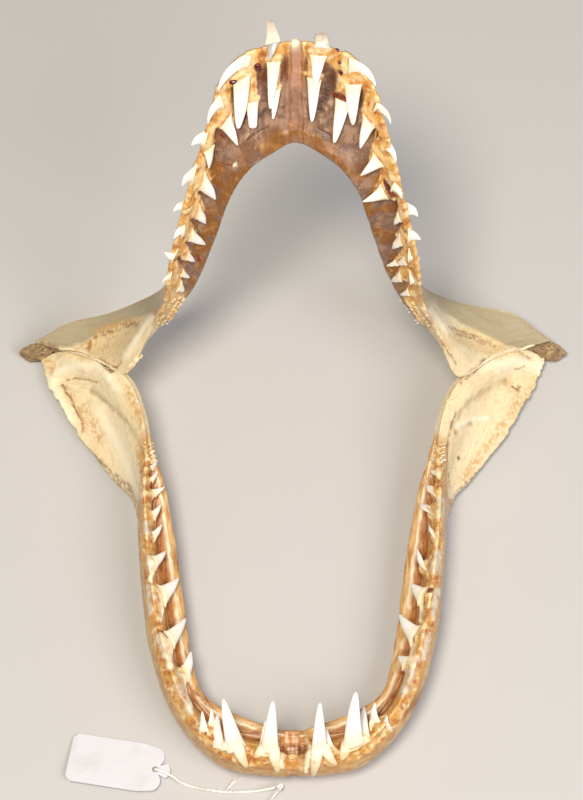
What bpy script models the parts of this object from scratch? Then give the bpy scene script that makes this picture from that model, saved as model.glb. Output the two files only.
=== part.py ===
"""Dried jaws of a shortfin mako shark, gaping wide, lying on their lower jaw.

Each jaw is two cartilage halves that meet at a narrow band of tissue in the middle. A half runs from
that band along its row of teeth to the corner of the mouth, where it flares out into a thin wing.

Everything is measured in millimetres in the gape frame: the frame of somebody who looks straight into
the open mouth, with X to their right, Y up and Z towards them. The whole set is then tipped forward by
FLOOR_TILT, so that the chin and the two joint knobs stand on the floor. FLOOR_PLACE puts the origin
under the middle of the jaws.
"""

import math

import bmesh
import bpy
from mathutils import Euler, Vector

MM = 0.001
GAP = 0.3
FLOOR_TILT = math.radians(24.0)
FLOOR_LIFT = 32.4
FLOOR_PLACE = Vector((-0.35, 34.7, 0.0))

LOWER_BAND_HALF = 4.5
UPPER_BAND_HALF = 4.0
BAND_RECESS = 0.94
RINGS_PER_STATION = 3

UPPER_LEAN = 1.6
CORNER_DROP = 2.2
CORNER = Vector((72.0, 4.0))
CORNER_REACH = 20.0
WING_RISE = 4.2
WING_TOP = Vector((94.0, 40.0))
WING_REACH = 15.0

# The corners of a section on its three sides: the share of the way along the side, and the share of
# that side's swell or cup.
BED_CORNERS = ((0.33, -1.0), (0.72, -0.8))
HIDDEN_CORNERS = ((0.25, 0.7), (0.55, 1.0), (0.85, 0.55))
OUTER_CORNERS = ((0.8, 0.6), (0.55, 1.0))
SHOULDER_SHARE = 0.22
SHOULDER_SWELL = 0.75
HOLLOW_SHOULDER = 1.0
MARGIN_EDGE = 2.2
WING_EDGE = 1.0
CREASE = math.radians(50.0)

TOOTH_SIDES = 6
TOOTH_ROOT = 2.5
TOOTH_SINK = 1.0
TOOTH_THICKNESS = 0.55
TOOTH_WAIST = 0.4
TOOTH_WAIST_WIDTH = 0.66
TOOTH_SET = 0.2  # how far the broad face of a crown is turned from the viewer

FLOOR_BLOCK = (0.6, 0.6, 0.1)

TAG_LENGTH = 43.0
TAG_WIDTH = 22.0
TAG_THICKNESS = 0.6
TAG_CORNER = 2.0
TAG_LOBES_START = 12.0
TAG_LOBE_RADIUS = 4.6
# The three lobes of the tag's scalloped end: how far the middle is from the end, how far it is
# across as a share of half the width, and the turns of its points in degrees.
TAG_LOBES = (
    (7.0, -0.5, (-70, -30, 10, 50)),
    (3.6, 0.0, (-45, 0, 45)),
    (7.0, 0.5, (-50, -10, 30, 70)),
)
TAG_HOLE_RADIUS = 1.3
TAG_HOLE_SIDES = 12
TAG_HOLE_INSET = 5.5
TAG_PUNCH_LENGTH = 10.0
TAG_PLACE = (-74.6, -157.8)
TAG_TURN = math.radians(-9.0)
TAG_ROLL = math.radians(7.0)
STRING_RADIUS = 0.6
STRING_POINTS_PER_LEG = 5
TAIL_RADIUS = 0.9
KNOT_PLACE = (-5.2, -168.2, 3.6)
KNOT_RADIUS = 1.7
KNOT_SEGMENTS = 10
KNOT_RINGS = 6

# Routes, like the two places above, are on the floor under the gape frame: X to the right, Y away
# from the viewer, Z up.
STRING_ROUTE = (
    (-58.8, -160.4, 3.4),
    (-55.5, -161.6, 3.8),
    (-51.2, -163.6, 2.9),
    (-47.2, -166.0, 1.3),
    (-41.0, -168.0, 0.9),
    (-28.5, -169.8, 0.9),
    (-17.5, -169.6, 0.9),
    (-10.5, -168.9, 2.0),
    (-7.35, -168.4, 3.1),
)
TAIL_ROUTE = (
    (-6.1, -170.4, 2.8),
    (-7.6, -171.9, 1.4),
    (-9.8, -174.8, 1.2),
    (-12.0, -179.0, 1.2),
)

# One row per station, from the middle of the jaw to its far end. Biting edge, inner rim and outer
# margin are (x, y, z) in the gape frame. Then how far the outer side swells (minus: is hollowed),
# how far the hidden side swells, and how deeply the bed of the teeth is cupped.
LOWER_STATIONS = (
    ("chin", (4.8, -149.5, 60), (4.8, -140, 50), (4.8, -160, 36), 5.5, 1.5, 0.5),
    ("second front tooth", (27, -146.5, 59), (24, -133, 47.5), (29.5, -156, 35), 5.0, 2.0, 1.5),
    ("bend", (44, -130, 54.5), (38.5, -124.5, 42), (48, -136, 31), 5.5, 2.5, 1.5),
    ("front of the arm", (55.5, -102.5, 44), (44.5, -104, 30), (59, -106, 21.5), 5.0, 3.0, 2.0),
    ("middle of the arm", (62, -69, 30), (49.5, -71, 17), (63.5, -73.5, 6), 4.2, 3.0, 2.5),
    ("back of the arm", (64.7, -39, 19), (56, -38, 8), (70.5, -47.5, -7), 1.0, 3.0, 1.5),
    ("end of the teeth", (64, -26, 14), (60.5, -25, 6), (80.5, -37, -14), -2.5, 5.5, 0.6),
    ("wing", (66.5, -6, 7), (65, -5, 1), (97, -17.5, -22), -4.0, 6.0, 0.2),
    ("corner of the mouth", (74, 9.5, -1), (72.5, 10.5, -5.5), (107, -2, -28), -3.5, 6.0, 0.2),
    ("under the seam", (86.5, 16.2, -14), (85.5, 17, -18), (112, 6, -33), -2.0, 4.5, 0.2),
    ("heel", (105, 21.6, -31), (104.5, 21.8, -35), (116, 15, -38.5), 0.5, 2.5, 0.2),
)
UPPER_STATIONS = (
    ("middle", (4.3, 144, 110), (4.3, 104, 88), (4.3, 115, 77), 3.5, 3.0, 2.0),
    ("second front tooth", (21, 139, 108), (17, 96, 84), (20, 108, 72), 3.5, 3.0, 2.0),
    ("third tooth", (30.5, 128.5, 104), (24.5, 88, 77.5), (28, 98, 64), 3.5, 3.0, 2.0),
    ("front of the arm", (36.5, 110, 94), (29.5, 79, 66), (34.5, 85, 48), 3.5, 3.0, 1.5),
    ("middle of the arm", (44, 86.5, 78), (34.5, 67.5, 48), (43.5, 69.5, 24), 3.5, 3.5, 1.5),
    ("back of the arm", (51.5, 61, 56), (42.5, 50.5, 31), (52, 56, 6), 2.5, 3.5, 1.0),
    ("end of the teeth", (56, 41, 34), (53, 37, 21), (60.5, 49, -9), 0.5, 4.0, 0.6),
    ("wing", (64.5, 26.5, 17), (63.7, 26.5, 9), (84, 40, -20), -3.0, 5.5, 0.2),
    ("corner of the mouth", (73.6, 12.2, 1), (72.8, 13, -4), (102, 36.3, -28), -4.0, 6.0, 0.2),
    ("over the seam", (86.5, 17, -13.5), (85.8, 17.8, -17), (111.5, 31.5, -32), -2.0, 4.5, 0.2),
    ("root of the knob", (105.5, 22.5, -29), (105, 23.1, -33), (119.5, 27, -37), 1.0, 3.0, 0.2),
)
KNOB_STATIONS = (
    ("root of the knob", (105.8, 22.2, -29.2), (105.3, 22.8, -33.2), (119.8, 26.7, -37.2), 1.0, 3.0, 0.2),
    ("knob", (111.5, 20.9, -33), (110.5, 20.9, -40), (127, 22, -40), 2.5, 5.0, 0),
    ("tip of the knob", (113.5, 18, -37), (113.5, 18, -41), (122.5, 17.5, -42), 1.5, 2.5, 0),
)

# One row per tooth: where its crown starts and where its point is in the gape frame (x, y), how much
# nearer to the viewer the point is than the start, and how broad the crown is at its start. Teeth of
# the outer row come first in each list, then those still lying behind it.
LOWER_TEETH = (
    (8.4, -146.5, 8.0, -125.0, 10, 7.0),
    (26.0, -144.0, 28.0, -122.5, 10, 7.5),
    (37.0, -136.0, 35.5, -125.5, 5, 5.5),
    (49.0, -118.0, 47.5, -112.0, 8, 6.5),
    (55.0, -102.0, 54.0, -98.0, 7, 7.0),
    (60.5, -85.0, 60.0, -81.5, 6, 7.0),
    (63.5, -56.0, 63.5, -53.0, 5, 6.0),
    (12.5, -144.0, 11.0, -136.5, 8, 4.5),
    (30.5, -139.0, 31.0, -129.5, 7, 5.0),
    (49.0, -104.0, 43.3, -107.5, 7, 8.0),
    (54.0, -97.0, 46.5, -91.5, 7, 8.0),
    (57.5, -80.5, 50.0, -76.0, 6, 7.5),
    (60.5, -67.5, 54.5, -64.0, 5, 6.5),
    (61.5, -57.0, 57.5, -53.0, 4, 5.5),
    (62.5, -46.5, 57.5, -44.5, 4, 5.0),
    (62.5, -37.5, 55.5, -37.0, 3, 4.5),
)
UPPER_TEETH = (
    (21.0, 134.0, 32.0, 123.5, -1, 7.5),
    (29.5, 119.5, 36.8, 109.8, -1, 6.5),
    (36.0, 106.0, 40.5, 99.5, 0, 6.5),
    (39.5, 93.5, 44.5, 86.0, 0, 7.0),
    (45.0, 79.0, 49.5, 76.0, 1, 7.0),
    (47.5, 68.5, 50.5, 66.5, 1, 6.5),
    (50.5, 60.5, 53.5, 58.0, 1, 5.5),
    (9.3, 134.0, 9.6, 117.5, 4, 5.6),
    (7.9, 122.0, 8.1, 111.5, 4, 3.8),
    (22.0, 126.5, 22.5, 108.0, 4, 7.0),
    (16.5, 118.5, 16.3, 106.5, 4, 5.5),
    (28.0, 110.5, 24.5, 101.0, 4, 6.5),
    (34.0, 98.0, 31.0, 91.0, 3, 7.0),
    (37.5, 84.5, 31.0, 80.0, 3, 7.0),
    (41.0, 78.0, 38.0, 71.5, 3, 6.5),
    (44.0, 68.0, 38.0, 62.5, 3, 6.5),
    (46.5, 57.5, 42.0, 55.0, 2, 5.5),
    (48.5, 50.0, 45.0, 48.0, 2, 4.5),
)
BROKEN_TOOTH_LEFT = (-9.2, 140.5, -10.2, 153.0, -3, 7.0)
BROKEN_TOOTH_RIGHT = (9.2, 140.5, 10.0, 147.0, -1, 7.0)

CARTILAGE = ("dried cartilage", (0.72, 0.52, 0.27), 0.45)
TISSUE = ("dried tissue", (0.33, 0.20, 0.13), 0.5)
TOOTH_IVORY = ("tooth ivory", (0.88, 0.80, 0.64), 0.25)
KNOB_SKIN = ("dark dried skin", (0.24, 0.16, 0.10), 0.6)
PAPER = ("tag paper", (0.86, 0.85, 0.81), 0.8)
COTTON = ("cotton string", (0.80, 0.78, 0.72), 0.9)


def clear_scene():
    for thing in list(bpy.data.objects):
        bpy.data.objects.remove(thing, do_unlink=True)


def new_collection(name):
    collection = bpy.data.collections.new(name)
    bpy.context.scene.collection.children.link(collection)
    return collection


def make_material(name, colour, roughness):
    material = bpy.data.materials.new(name)
    material.use_nodes = True
    shader = material.node_tree.nodes["Principled BSDF"]
    shader.inputs["Base Color"].default_value = (*colour, 1.0)
    shader.inputs["Roughness"].default_value = roughness
    shader.inputs["Metallic"].default_value = 0.0
    return material


def add_mesh(name, points, faces, material, collection, parent=None):
    """A mesh object from points in millimetres, with its faces turned outwards."""
    mesh = bpy.data.meshes.new(name)
    mesh.from_pydata([Vector(point) * MM for point in points], [], faces)
    form = bmesh.new()
    form.from_mesh(mesh)
    bmesh.ops.recalc_face_normals(form, faces=form.faces)
    form.to_mesh(mesh)
    form.free()
    mesh.shade_smooth()
    mesh.set_sharp_from_angle(angle=CREASE)
    mesh.materials.append(material)
    thing = bpy.data.objects.new(name, mesh)
    collection.objects.link(thing)
    thing.parent = parent
    return thing


def move_to(thing, collection):
    for holder in list(thing.users_collection):
        holder.objects.unlink(thing)
    collection.objects.link(thing)


def hide_helper(thing):
    thing.hide_render = True
    thing.display_type = "WIRE"


# ---------------------------------------------------------------- cartilage


def dried(point):
    """How the real specimen dried unevenly: the upper jaw leans, and the right side gapes wider."""
    moved = Vector(point)
    moved.x += UPPER_LEAN * min(max(point[1] / 100.0, 0.0), 1.0)
    if point[0] > 0:
        moved.y -= CORNER_DROP * hump(moved, CORNER, CORNER_REACH)
        moved.y += WING_RISE * hump(moved, WING_TOP, WING_REACH)
    return moved


def hump(point, centre, reach):
    """1 at the centre, falling smoothly to 0 around it, seen from the front."""
    distance = (point.xy - centre).length / reach
    return math.exp(-0.5 * distance * distance)


def smooth_between(before, start, end, after, share):
    """A Catmull-Rom curve through start and end."""
    square, cube = share * share, share * share * share
    return 0.5 * (
        2 * start
        + (end - before) * share
        + (2 * before - 5 * start + 4 * end - after) * square
        + (3 * start - before - 3 * end + after) * cube
    )


def blend_stations(stations):
    """The stations and RINGS_PER_STATION - 1 smooth steps between each two of them."""
    rows = [tuple(Vector(value) for value in row[1:4]) + row[4:] for row in stations]
    last = len(rows) - 1
    blended = []
    for index in range(last):
        around = [rows[max(index - 1, 0)], rows[index], rows[index + 1], rows[min(index + 2, last)]]
        for step in range(RINGS_PER_STATION):
            share = step / RINGS_PER_STATION
            blended.append([smooth_between(*values, share) for values in zip(*around)])
    blended.append(list(rows[last]))
    return blended


def off_side(start, end, third, share, swell):
    """The point at this share of one side of a section, moved away from the third corner by swell."""
    along = (end - start).normalized()
    away = start - third
    away -= along * away.dot(along)
    return start.lerp(end, share) + away.normalized() * swell


def section(bite, rim, margin, outer, hidden, cup):
    """The twelve corners of one section, from the biting edge over the rim and the margin."""
    shoulder = SHOULDER_SWELL * outer if outer > 0 else HOLLOW_SHOULDER
    half_edge = (WING_EDGE if outer < 0 else MARGIN_EDGE) / 2
    return [
        bite,
        *(off_side(bite, rim, margin, share, cup * part) for share, part in BED_CORNERS),
        rim,
        *(off_side(rim, margin, bite, share, hidden * part) for share, part in HIDDEN_CORNERS),
        off_side(rim, margin, bite, 1.0, half_edge),
        off_side(bite, margin, rim, 1.0, half_edge),
        *(off_side(bite, margin, rim, share, outer * part) for share, part in OUTER_CORNERS),
        off_side(bite, margin, rim, SHOULDER_SHARE, shoulder),
    ]


def loft(name, rings, material, collection, parent):
    """A closed body through rings of equally many points, with a flat end on both sides."""
    count = len(rings[0])
    faces = []
    for ring in range(len(rings) - 1):
        for corner in range(count):
            following = (corner + 1) % count
            here, there = ring * count, (ring + 1) * count
            faces.append((here + corner, here + following, there + following, there + corner))
    faces.append(tuple(range(count)))
    faces.append(tuple(range((len(rings) - 1) * count, len(rings) * count)))
    points = [dried(point) for ring in rings for point in ring]
    return add_mesh(name, points, faces, material, collection, parent)


def half_rings(stations, side):
    """The rings of one half. side is -1 for the left half and 1 for the right."""
    rings = [section(*row) for row in blend_stations(stations)]
    return [[Vector((side * point.x, point.y, point.z)) for point in ring] for ring in rings]


def band_rings(stations, half_width):
    """The rings of the narrow band of tissue between two halves, a little smaller than they are."""
    first = section(*blend_stations(stations)[0])
    middle = sum(first, Vector()) / len(first)
    slim = [middle + (point - middle) * BAND_RECESS for point in first]
    return [[Vector((x, point.y, point.z)) for point in slim] for x in (-half_width, 0.0, half_width)]


# -------------------------------------------------------------------- teeth


def bed_depth(stations, x, y):
    """The depth z of the bed of the teeth at this place of the front view."""
    target = Vector((abs(x), y))
    found = []
    for bite, rim, *_ in blend_stations(stations):
        across = rim.xy - bite.xy
        share = min(max((target - bite.xy).dot(across) / across.length_squared, 0.0), 1.0)
        nearest = bite.lerp(rim, share)
        found.append(((nearest.xy - target).length, nearest.z))
    return min(found)[1]


def add_tooth(name, stations, tooth, collection, parent):
    """One crown: an oval foot sunk into the jaw, a slimmer waist and a point."""
    foot_x, foot_y, point_x, point_y, rise, width = tooth
    depth = bed_depth(stations, foot_x, foot_y)
    foot = Vector((foot_x, foot_y, depth))
    point = Vector((point_x, point_y, depth + rise))
    axis = (point - foot).normalized()
    broad = axis.cross(Vector((0, 0, 1)) + axis * TOOTH_SET).normalized()
    thin = broad.cross(axis).normalized() * TOOTH_THICKNESS
    root = foot - axis * TOOTH_ROOT - Vector((0, 0, TOOTH_SINK))
    waist = foot.lerp(point, TOOTH_WAIST)
    points = []
    for centre, spread in ((root, width / 2), (waist, width / 2 * TOOTH_WAIST_WIDTH)):
        for index in range(TOOTH_SIDES):
            turn = math.tau * index / TOOTH_SIDES
            points.append(centre + (broad * math.cos(turn) + thin * math.sin(turn)) * spread)
    points.append(point)
    apex = 2 * TOOTH_SIDES
    faces = [tuple(range(TOOTH_SIDES))]
    for index in range(TOOTH_SIDES):
        following = (index + 1) % TOOTH_SIDES
        faces.append((index, following, TOOTH_SIDES + following, TOOTH_SIDES + index))
        faces.append((TOOTH_SIDES + index, TOOTH_SIDES + following, apex))
    tooth_mesh = add_mesh(name, [dried(each) for each in points], faces, IVORY, collection, parent)
    hide_helper(tooth_mesh)


def join_teeth(half, stations, teeth, side):
    """Unites a half with its own teeth."""
    own = new_collection(half.name + "_teeth")
    for number, tooth in enumerate(teeth):
        foot_x, foot_y, point_x, *rest = tooth
        placed = (side * foot_x, foot_y, side * point_x, *rest)
        add_tooth(f"{half.name}_tooth_{number:02d}", stations, placed, own, half.parent)
    union = half.modifiers.new("teeth", "BOOLEAN")
    union.operation = "UNION"
    union.operand_type = "COLLECTION"
    union.collection = own
    union.solver = "EXACT"


# -------------------------------------------------------------------- floor


def stand_on_floor(thing):
    """Cuts a small flat where the piece meets the floor."""
    cut = thing.modifiers.new("floor", "BOOLEAN")
    cut.operation = "DIFFERENCE"
    cut.object = floor_block
    cut.solver = "EXACT"


# ----------------------------------------------------------- tag and string


def add_tag(collection):
    """A blank paper tag with one scalloped end, a hole there, and a slight roll."""
    half_length, half_width = TAG_LENGTH / 2, TAG_WIDTH / 2
    straight_end = half_length - TAG_LOBES_START
    outline = [(TAG_CORNER - half_length, -half_width), (straight_end, -half_width)]
    for from_end, across, turns in TAG_LOBES:
        for turn in turns:
            angle = math.radians(turn)
            x = half_length - from_end + TAG_LOBE_RADIUS * math.cos(angle)
            y = half_width * across + TAG_LOBE_RADIUS * math.sin(angle)
            outline.append((x, y))
    outline += [(straight_end, half_width), (TAG_CORNER - half_length, half_width)]
    outline += [(-half_length, half_width - TAG_CORNER), (-half_length, TAG_CORNER - half_width)]
    count = len(outline)
    points = [(x, y, z) for z in (0.0, TAG_THICKNESS) for x, y in outline]
    faces = [tuple(range(count)), tuple(range(count, 2 * count))]
    for index in range(count):
        following = (index + 1) % count
        faces.append((index, following, count + following, count + index))
    tag = add_mesh("tag", points, faces, make_material(*PAPER), collection)
    tag.rotation_euler = Euler((-TAG_ROLL, 0, TAG_TURN))
    tag.location = Vector((*TAG_PLACE, TAG_WIDTH / 2 * math.sin(TAG_ROLL) + GAP)) * MM
    tag.parent = floor_frame
    bpy.ops.mesh.primitive_cylinder_add(
        vertices=TAG_HOLE_SIDES, radius=TAG_HOLE_RADIUS * MM, depth=TAG_PUNCH_LENGTH * MM
    )
    punch = bpy.context.object
    punch.name = "tag_hole_punch"
    hide_helper(punch)
    move_to(punch, helpers)
    punch.parent = tag
    punch.location = Vector((half_length - TAG_HOLE_INSET, 0, 0)) * MM
    hole = tag.modifiers.new("hole", "BOOLEAN")
    hole.operation = "DIFFERENCE"
    hole.object = punch
    hole.solver = "EXACT"


def smooth_route(route):
    """A smooth row of points through the points of a route."""
    spots = [Vector(spot) for spot in route]
    last = len(spots) - 1
    smooth = []
    for index in range(last):
        around = (spots[max(index - 1, 0)], spots[index], spots[index + 1], spots[min(index + 2, last)])
        for step in range(STRING_POINTS_PER_LEG):
            smooth.append(smooth_between(*around, step / STRING_POINTS_PER_LEG))
    return smooth + [spots[last]]


def add_string(name, route, radius, collection):
    """A round string along a route of places on the floor frame, in millimetres."""
    curve = bpy.data.curves.new(name, "CURVE")
    curve.dimensions = "3D"
    curve.bevel_depth = radius * MM
    curve.bevel_resolution = 2
    curve.use_fill_caps = True
    places = smooth_route(route)
    spline = curve.splines.new("POLY")
    spline.points.add(len(places) - 1)
    for spot, place in zip(spline.points, places):
        spot.co = (*(place * MM), 1.0)
    curve.materials.append(COTTON_SURFACE)
    string = bpy.data.objects.new(name, curve)
    string.parent = floor_frame
    collection.objects.link(string)


def add_knot(collection):
    """The small overhand knot in front of the chin."""
    bpy.ops.mesh.primitive_uv_sphere_add(
        segments=KNOT_SEGMENTS, ring_count=KNOT_RINGS, radius=KNOT_RADIUS * MM
    )
    knot = bpy.context.object
    knot.name = "string_knot"
    knot.location = Vector(KNOT_PLACE) * MM
    knot.parent = floor_frame
    knot.data.shade_smooth()
    knot.data.materials.append(COTTON_SURFACE)
    move_to(knot, collection)


# ------------------------------------------------------------------- pieces

clear_scene()
parts = new_collection("shark_jaw")
helpers = new_collection("helpers")
IVORY = make_material(*TOOTH_IVORY)
CARTILAGE_SURFACE = make_material(*CARTILAGE)
TISSUE_SURFACE = make_material(*TISSUE)
KNOB_SURFACE = make_material(*KNOB_SKIN)
COTTON_SURFACE = make_material(*COTTON)

floor_frame = bpy.data.objects.new("floor_frame", None)
floor_frame.location = FLOOR_PLACE * MM
parts.objects.link(floor_frame)
gape_frame = bpy.data.objects.new("gape_frame", None)
gape_frame.rotation_euler.x = FLOOR_TILT
gape_frame.location.z = FLOOR_LIFT * MM
gape_frame.parent = floor_frame
parts.objects.link(gape_frame)

bpy.ops.mesh.primitive_cube_add(size=1.0, location=(0, 0, -FLOOR_BLOCK[2] / 2))
floor_block = bpy.context.object
floor_block.name = "floor_block"
floor_block.scale = FLOOR_BLOCK
hide_helper(floor_block)
move_to(floor_block, helpers)

for side, word in ((-1, "left"), (1, "right")):
    lower = loft(f"lower_jaw_{word}", half_rings(LOWER_STATIONS, side), CARTILAGE_SURFACE, parts, gape_frame)
    join_teeth(lower, LOWER_STATIONS, LOWER_TEETH, side)
    stand_on_floor(lower)
    upper = loft(f"upper_jaw_{word}", half_rings(UPPER_STATIONS, side), CARTILAGE_SURFACE, parts, gape_frame)
    join_teeth(upper, UPPER_STATIONS, UPPER_TEETH, side)
    broken = BROKEN_TOOTH_LEFT if side < 0 else BROKEN_TOOTH_RIGHT
    add_tooth(f"{upper.name}_broken", UPPER_STATIONS, broken, upper.modifiers["teeth"].collection, gape_frame)
    knob = loft(f"joint_knob_{word}", half_rings(KNOB_STATIONS, side), KNOB_SURFACE, parts, gape_frame)
    stand_on_floor(knob)

upper_band = band_rings(UPPER_STATIONS, UPPER_BAND_HALF)
loft("symphysis_upper", upper_band, TISSUE_SURFACE, parts, gape_frame)
lower_band = band_rings(LOWER_STATIONS, LOWER_BAND_HALF)
stand_on_floor(loft("symphysis_lower", lower_band, TISSUE_SURFACE, parts, gape_frame))

add_tag(parts)
add_string("tag_string", STRING_ROUTE, STRING_RADIUS, parts)
add_knot(parts)
add_string("string_tail", TAIL_ROUTE, TAIL_RADIUS, parts)
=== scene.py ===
"""Looks of the dried jaws of a shortfin mako shark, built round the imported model.

Sizes are in millimetres in the gape frame: the frame of somebody who looks straight into the open mouth,
with X to their right, Y up and Z towards them. The jaws lie tipped forward by GAPE_TILT on the floor.
Places named as seen are pixels of the photograph's 583 x 800 frame.
"""

import math
import random

import bpy
import numpy as np
from mathutils import Matrix, Vector, noise
from mathutils.bvhtree import BVHTree


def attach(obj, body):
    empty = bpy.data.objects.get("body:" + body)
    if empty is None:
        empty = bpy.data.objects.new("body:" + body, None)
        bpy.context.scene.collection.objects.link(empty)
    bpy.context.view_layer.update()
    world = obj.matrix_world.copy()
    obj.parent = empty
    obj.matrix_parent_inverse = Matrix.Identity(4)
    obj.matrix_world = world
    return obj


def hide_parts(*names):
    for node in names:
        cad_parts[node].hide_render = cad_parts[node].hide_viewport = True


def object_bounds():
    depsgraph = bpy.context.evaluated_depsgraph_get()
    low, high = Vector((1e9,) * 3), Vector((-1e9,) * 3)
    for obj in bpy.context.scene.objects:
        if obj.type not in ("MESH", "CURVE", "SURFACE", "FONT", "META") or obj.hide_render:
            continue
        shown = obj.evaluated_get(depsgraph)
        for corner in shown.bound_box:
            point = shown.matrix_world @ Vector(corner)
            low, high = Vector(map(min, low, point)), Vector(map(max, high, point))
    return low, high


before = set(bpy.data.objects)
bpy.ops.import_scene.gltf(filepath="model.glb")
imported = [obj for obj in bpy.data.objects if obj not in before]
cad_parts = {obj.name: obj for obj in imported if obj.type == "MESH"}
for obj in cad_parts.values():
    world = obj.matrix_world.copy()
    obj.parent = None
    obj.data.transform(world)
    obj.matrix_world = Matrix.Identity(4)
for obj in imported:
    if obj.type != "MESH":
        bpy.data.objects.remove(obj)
cad_low, cad_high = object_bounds()

# ------------------------------------------------------------------------------- camera
# The photograph looks straight into the mouth. The jaws lie on the floor, so the camera looks down
# on them, one metre and a bit above the joints.

MM = 0.001
GAPE_TILT = math.radians(24.0)
GAPE_PLACE = Vector((-0.35, 34.7, 32.4))
GAPE_TO_WORLD = (
    Matrix.Translation(GAPE_PLACE * MM) @ Matrix.Rotation(GAPE_TILT, 4, "X") @ Matrix.Scale(MM, 4)
)
CAMERA = Vector((-0.22, 0.0, 1060.0))
PHOTO_WIDTH, PHOTO_HEIGHT = 583, 800
SENSOR = 36.0
LENS = 107.1
FOCAL_PIXELS = LENS / SENSOR * PHOTO_HEIGHT

camera = bpy.data.objects.new("camera", bpy.data.cameras.new("camera"))
camera.data.sensor_width = SENSOR
camera.data.lens = LENS
camera.location = GAPE_TO_WORLD @ CAMERA
camera.rotation_euler = (GAPE_TILT, 0.0, 0.0)
bpy.context.scene.collection.objects.link(camera)
bpy.context.scene.camera = camera


def sight(seen):
    """The direction in which the camera sees this pixel of the photograph."""
    across = (seen[0] - PHOTO_WIDTH / 2) / FOCAL_PIXELS
    up = (PHOTO_HEIGHT / 2 - seen[1]) / FOCAL_PIXELS
    return Vector((across, up, -1.0))


def at_depth(seen, depth):
    """The place at this depth z that the camera sees at this pixel."""
    return CAMERA + sight(seen) * (CAMERA.z - depth)


# ------------------------------------------------------------------------ floor and light
# A plain pale floor, a large soft light from the upper left and a weaker one from the right.

FLOOR_SIZE, FLOOR_COLOUR, FLOOR_ROUGHNESS = 6.0, "#c2c0bc", 0.9
# Each soft light: its name, its place and width in metres, its power in watts and its colour.
LIGHTS = (
    ("key_light", (-0.2, -0.32, 1.32), 0.45, 15.8, "#fff6e8"),
    ("fill_light", (0.62, -0.6, 0.95), 0.8, 8.6, "#fbf8ff"),
)
SKY_COLOUR, SKY_STRENGTH = "#dfe3ea", 0.3


def linear(colour):
    """A linear colour from an sRGB hex value."""
    parts = [int(colour[index:index + 2], 16) / 255 for index in (1, 3, 5)]
    return [part / 12.92 if part <= 0.04045 else ((part + 0.055) / 1.055) ** 2.4 for part in parts] + [1.0]


def add_node(tree, kind, inputs=None, **settings):
    """A shader node with its settings; inputs gives each named socket a value, or a socket to link."""
    made = tree.nodes.new(kind)
    for name, value in settings.items():
        setattr(made, name, value)
    for name, value in (inputs or {}).items():
        socket = made.inputs[name]
        if isinstance(value, bpy.types.NodeSocket):
            tree.links.new(value, socket)
        else:
            socket.default_value = value
    return made


def new_material(name):
    """A new material, its node tree and its shader."""
    material = bpy.data.materials.new(name)
    material.use_nodes = True
    return material, material.node_tree, material.node_tree.nodes["Principled BSDF"]


def deselect():
    bpy.ops.object.select_all(action="DESELECT")


deselect()
bpy.ops.mesh.primitive_plane_add(size=FLOOR_SIZE)
floor = bpy.context.object
floor.name = "floor"
floor_paint, _, floor_shader = new_material("pale matt floor")
floor_shader.inputs["Base Color"].default_value = linear(FLOOR_COLOUR)
floor_shader.inputs["Roughness"].default_value = FLOOR_ROUGHNESS
floor.data.materials.append(floor_paint)

for name, place, width, power, colour in LIGHTS:
    light = bpy.data.lights.new(name, "AREA")
    light.shape = "DISK"
    light.size = width
    light.energy = power
    light.color = linear(colour)[:3]
    lamp = bpy.data.objects.new(name, light)
    lamp.location = place
    lamp.rotation_euler = Vector(place).to_track_quat("Z", "Y").to_euler()
    bpy.context.scene.collection.objects.link(lamp)
world = bpy.data.worlds.new("studio")
world.use_nodes = True
background = world.node_tree.nodes["Background"]
background.inputs["Color"].default_value = linear(SKY_COLOUR)
background.inputs["Strength"].default_value = SKY_STRENGTH
bpy.context.scene.world = world
bpy.context.scene.view_settings.view_transform = "Standard"

# --------------------------------------------------------------------------- tag and string
# A blank card tag on a twisted cotton string, which goes through the tag's punched hole. It is
# knotted in front of the chin, where its frayed end lies on the floor.

# Routes are on the floor under the gape frame: X to the right, Y away from the viewer, Z up.
FLOOR_TO_WORLD = Matrix.Translation(Vector((GAPE_PLACE.x, GAPE_PLACE.y, 0.0)) * MM) @ Matrix.Scale(MM, 4)
STRING_ROUTE = (
    (-58.8, -160.4, 3.4),
    (-55.5, -161.6, 3.8),
    (-51.2, -163.6, 2.9),
    (-47.2, -166.0, 1.3),
    (-41.0, -168.0, 0.9),
    (-28.5, -169.8, 0.9),
    (-17.5, -169.6, 0.9),
    (-10.5, -168.9, 2.0),
    (-7.35, -168.4, 3.1),
)
TAIL_ROUTE = (
    (-6.1, -170.4, 2.8),
    (-7.6, -171.9, 1.4),
    (-9.8, -174.8, 1.2),
    (-12.0, -179.0, 1.2),
)
KNOT_PLACE = np.array((-5.2, -168.2, 3.6))
PLY_RADIUS, PLY_OFFSET, PLY_PITCH = 0.34, 0.26, 2.6
STRING_RINGS = 170
KNOT_SIZE, KNOT_RADIUS, KNOT_RINGS = 0.43, 0.42, 90
# Frayed fibres: how many there are, how far they part and half their thickness.
TAIL_FIBRES = 14, 0.75, 0.24
FORK_FIBRES = 4, 0.5, 0.2
FIBRE_POINTS, FIBRE_SIDES, FIBRE_TAPER = 12, 5, 0.45
FIBRE_BOW, FIBRE_RISES, FIBRE_CLEARANCE = 0.4, (0.6, 0.3), 0.1
FORK_HEIGHT = 1.0
FORK_ROUTES = (((226, 791), (231, 784), (237, 776)), ((228, 789), (236, 781), (243, 779)))

TAG_LENGTH, TAG_WIDTH, TAG_THICKNESS = 43.0, 22.0, 0.4
TAG_CORNER, TAG_LOBES_START, TAG_LOBE_RADIUS = 2.0, 12.0, 4.6
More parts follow.
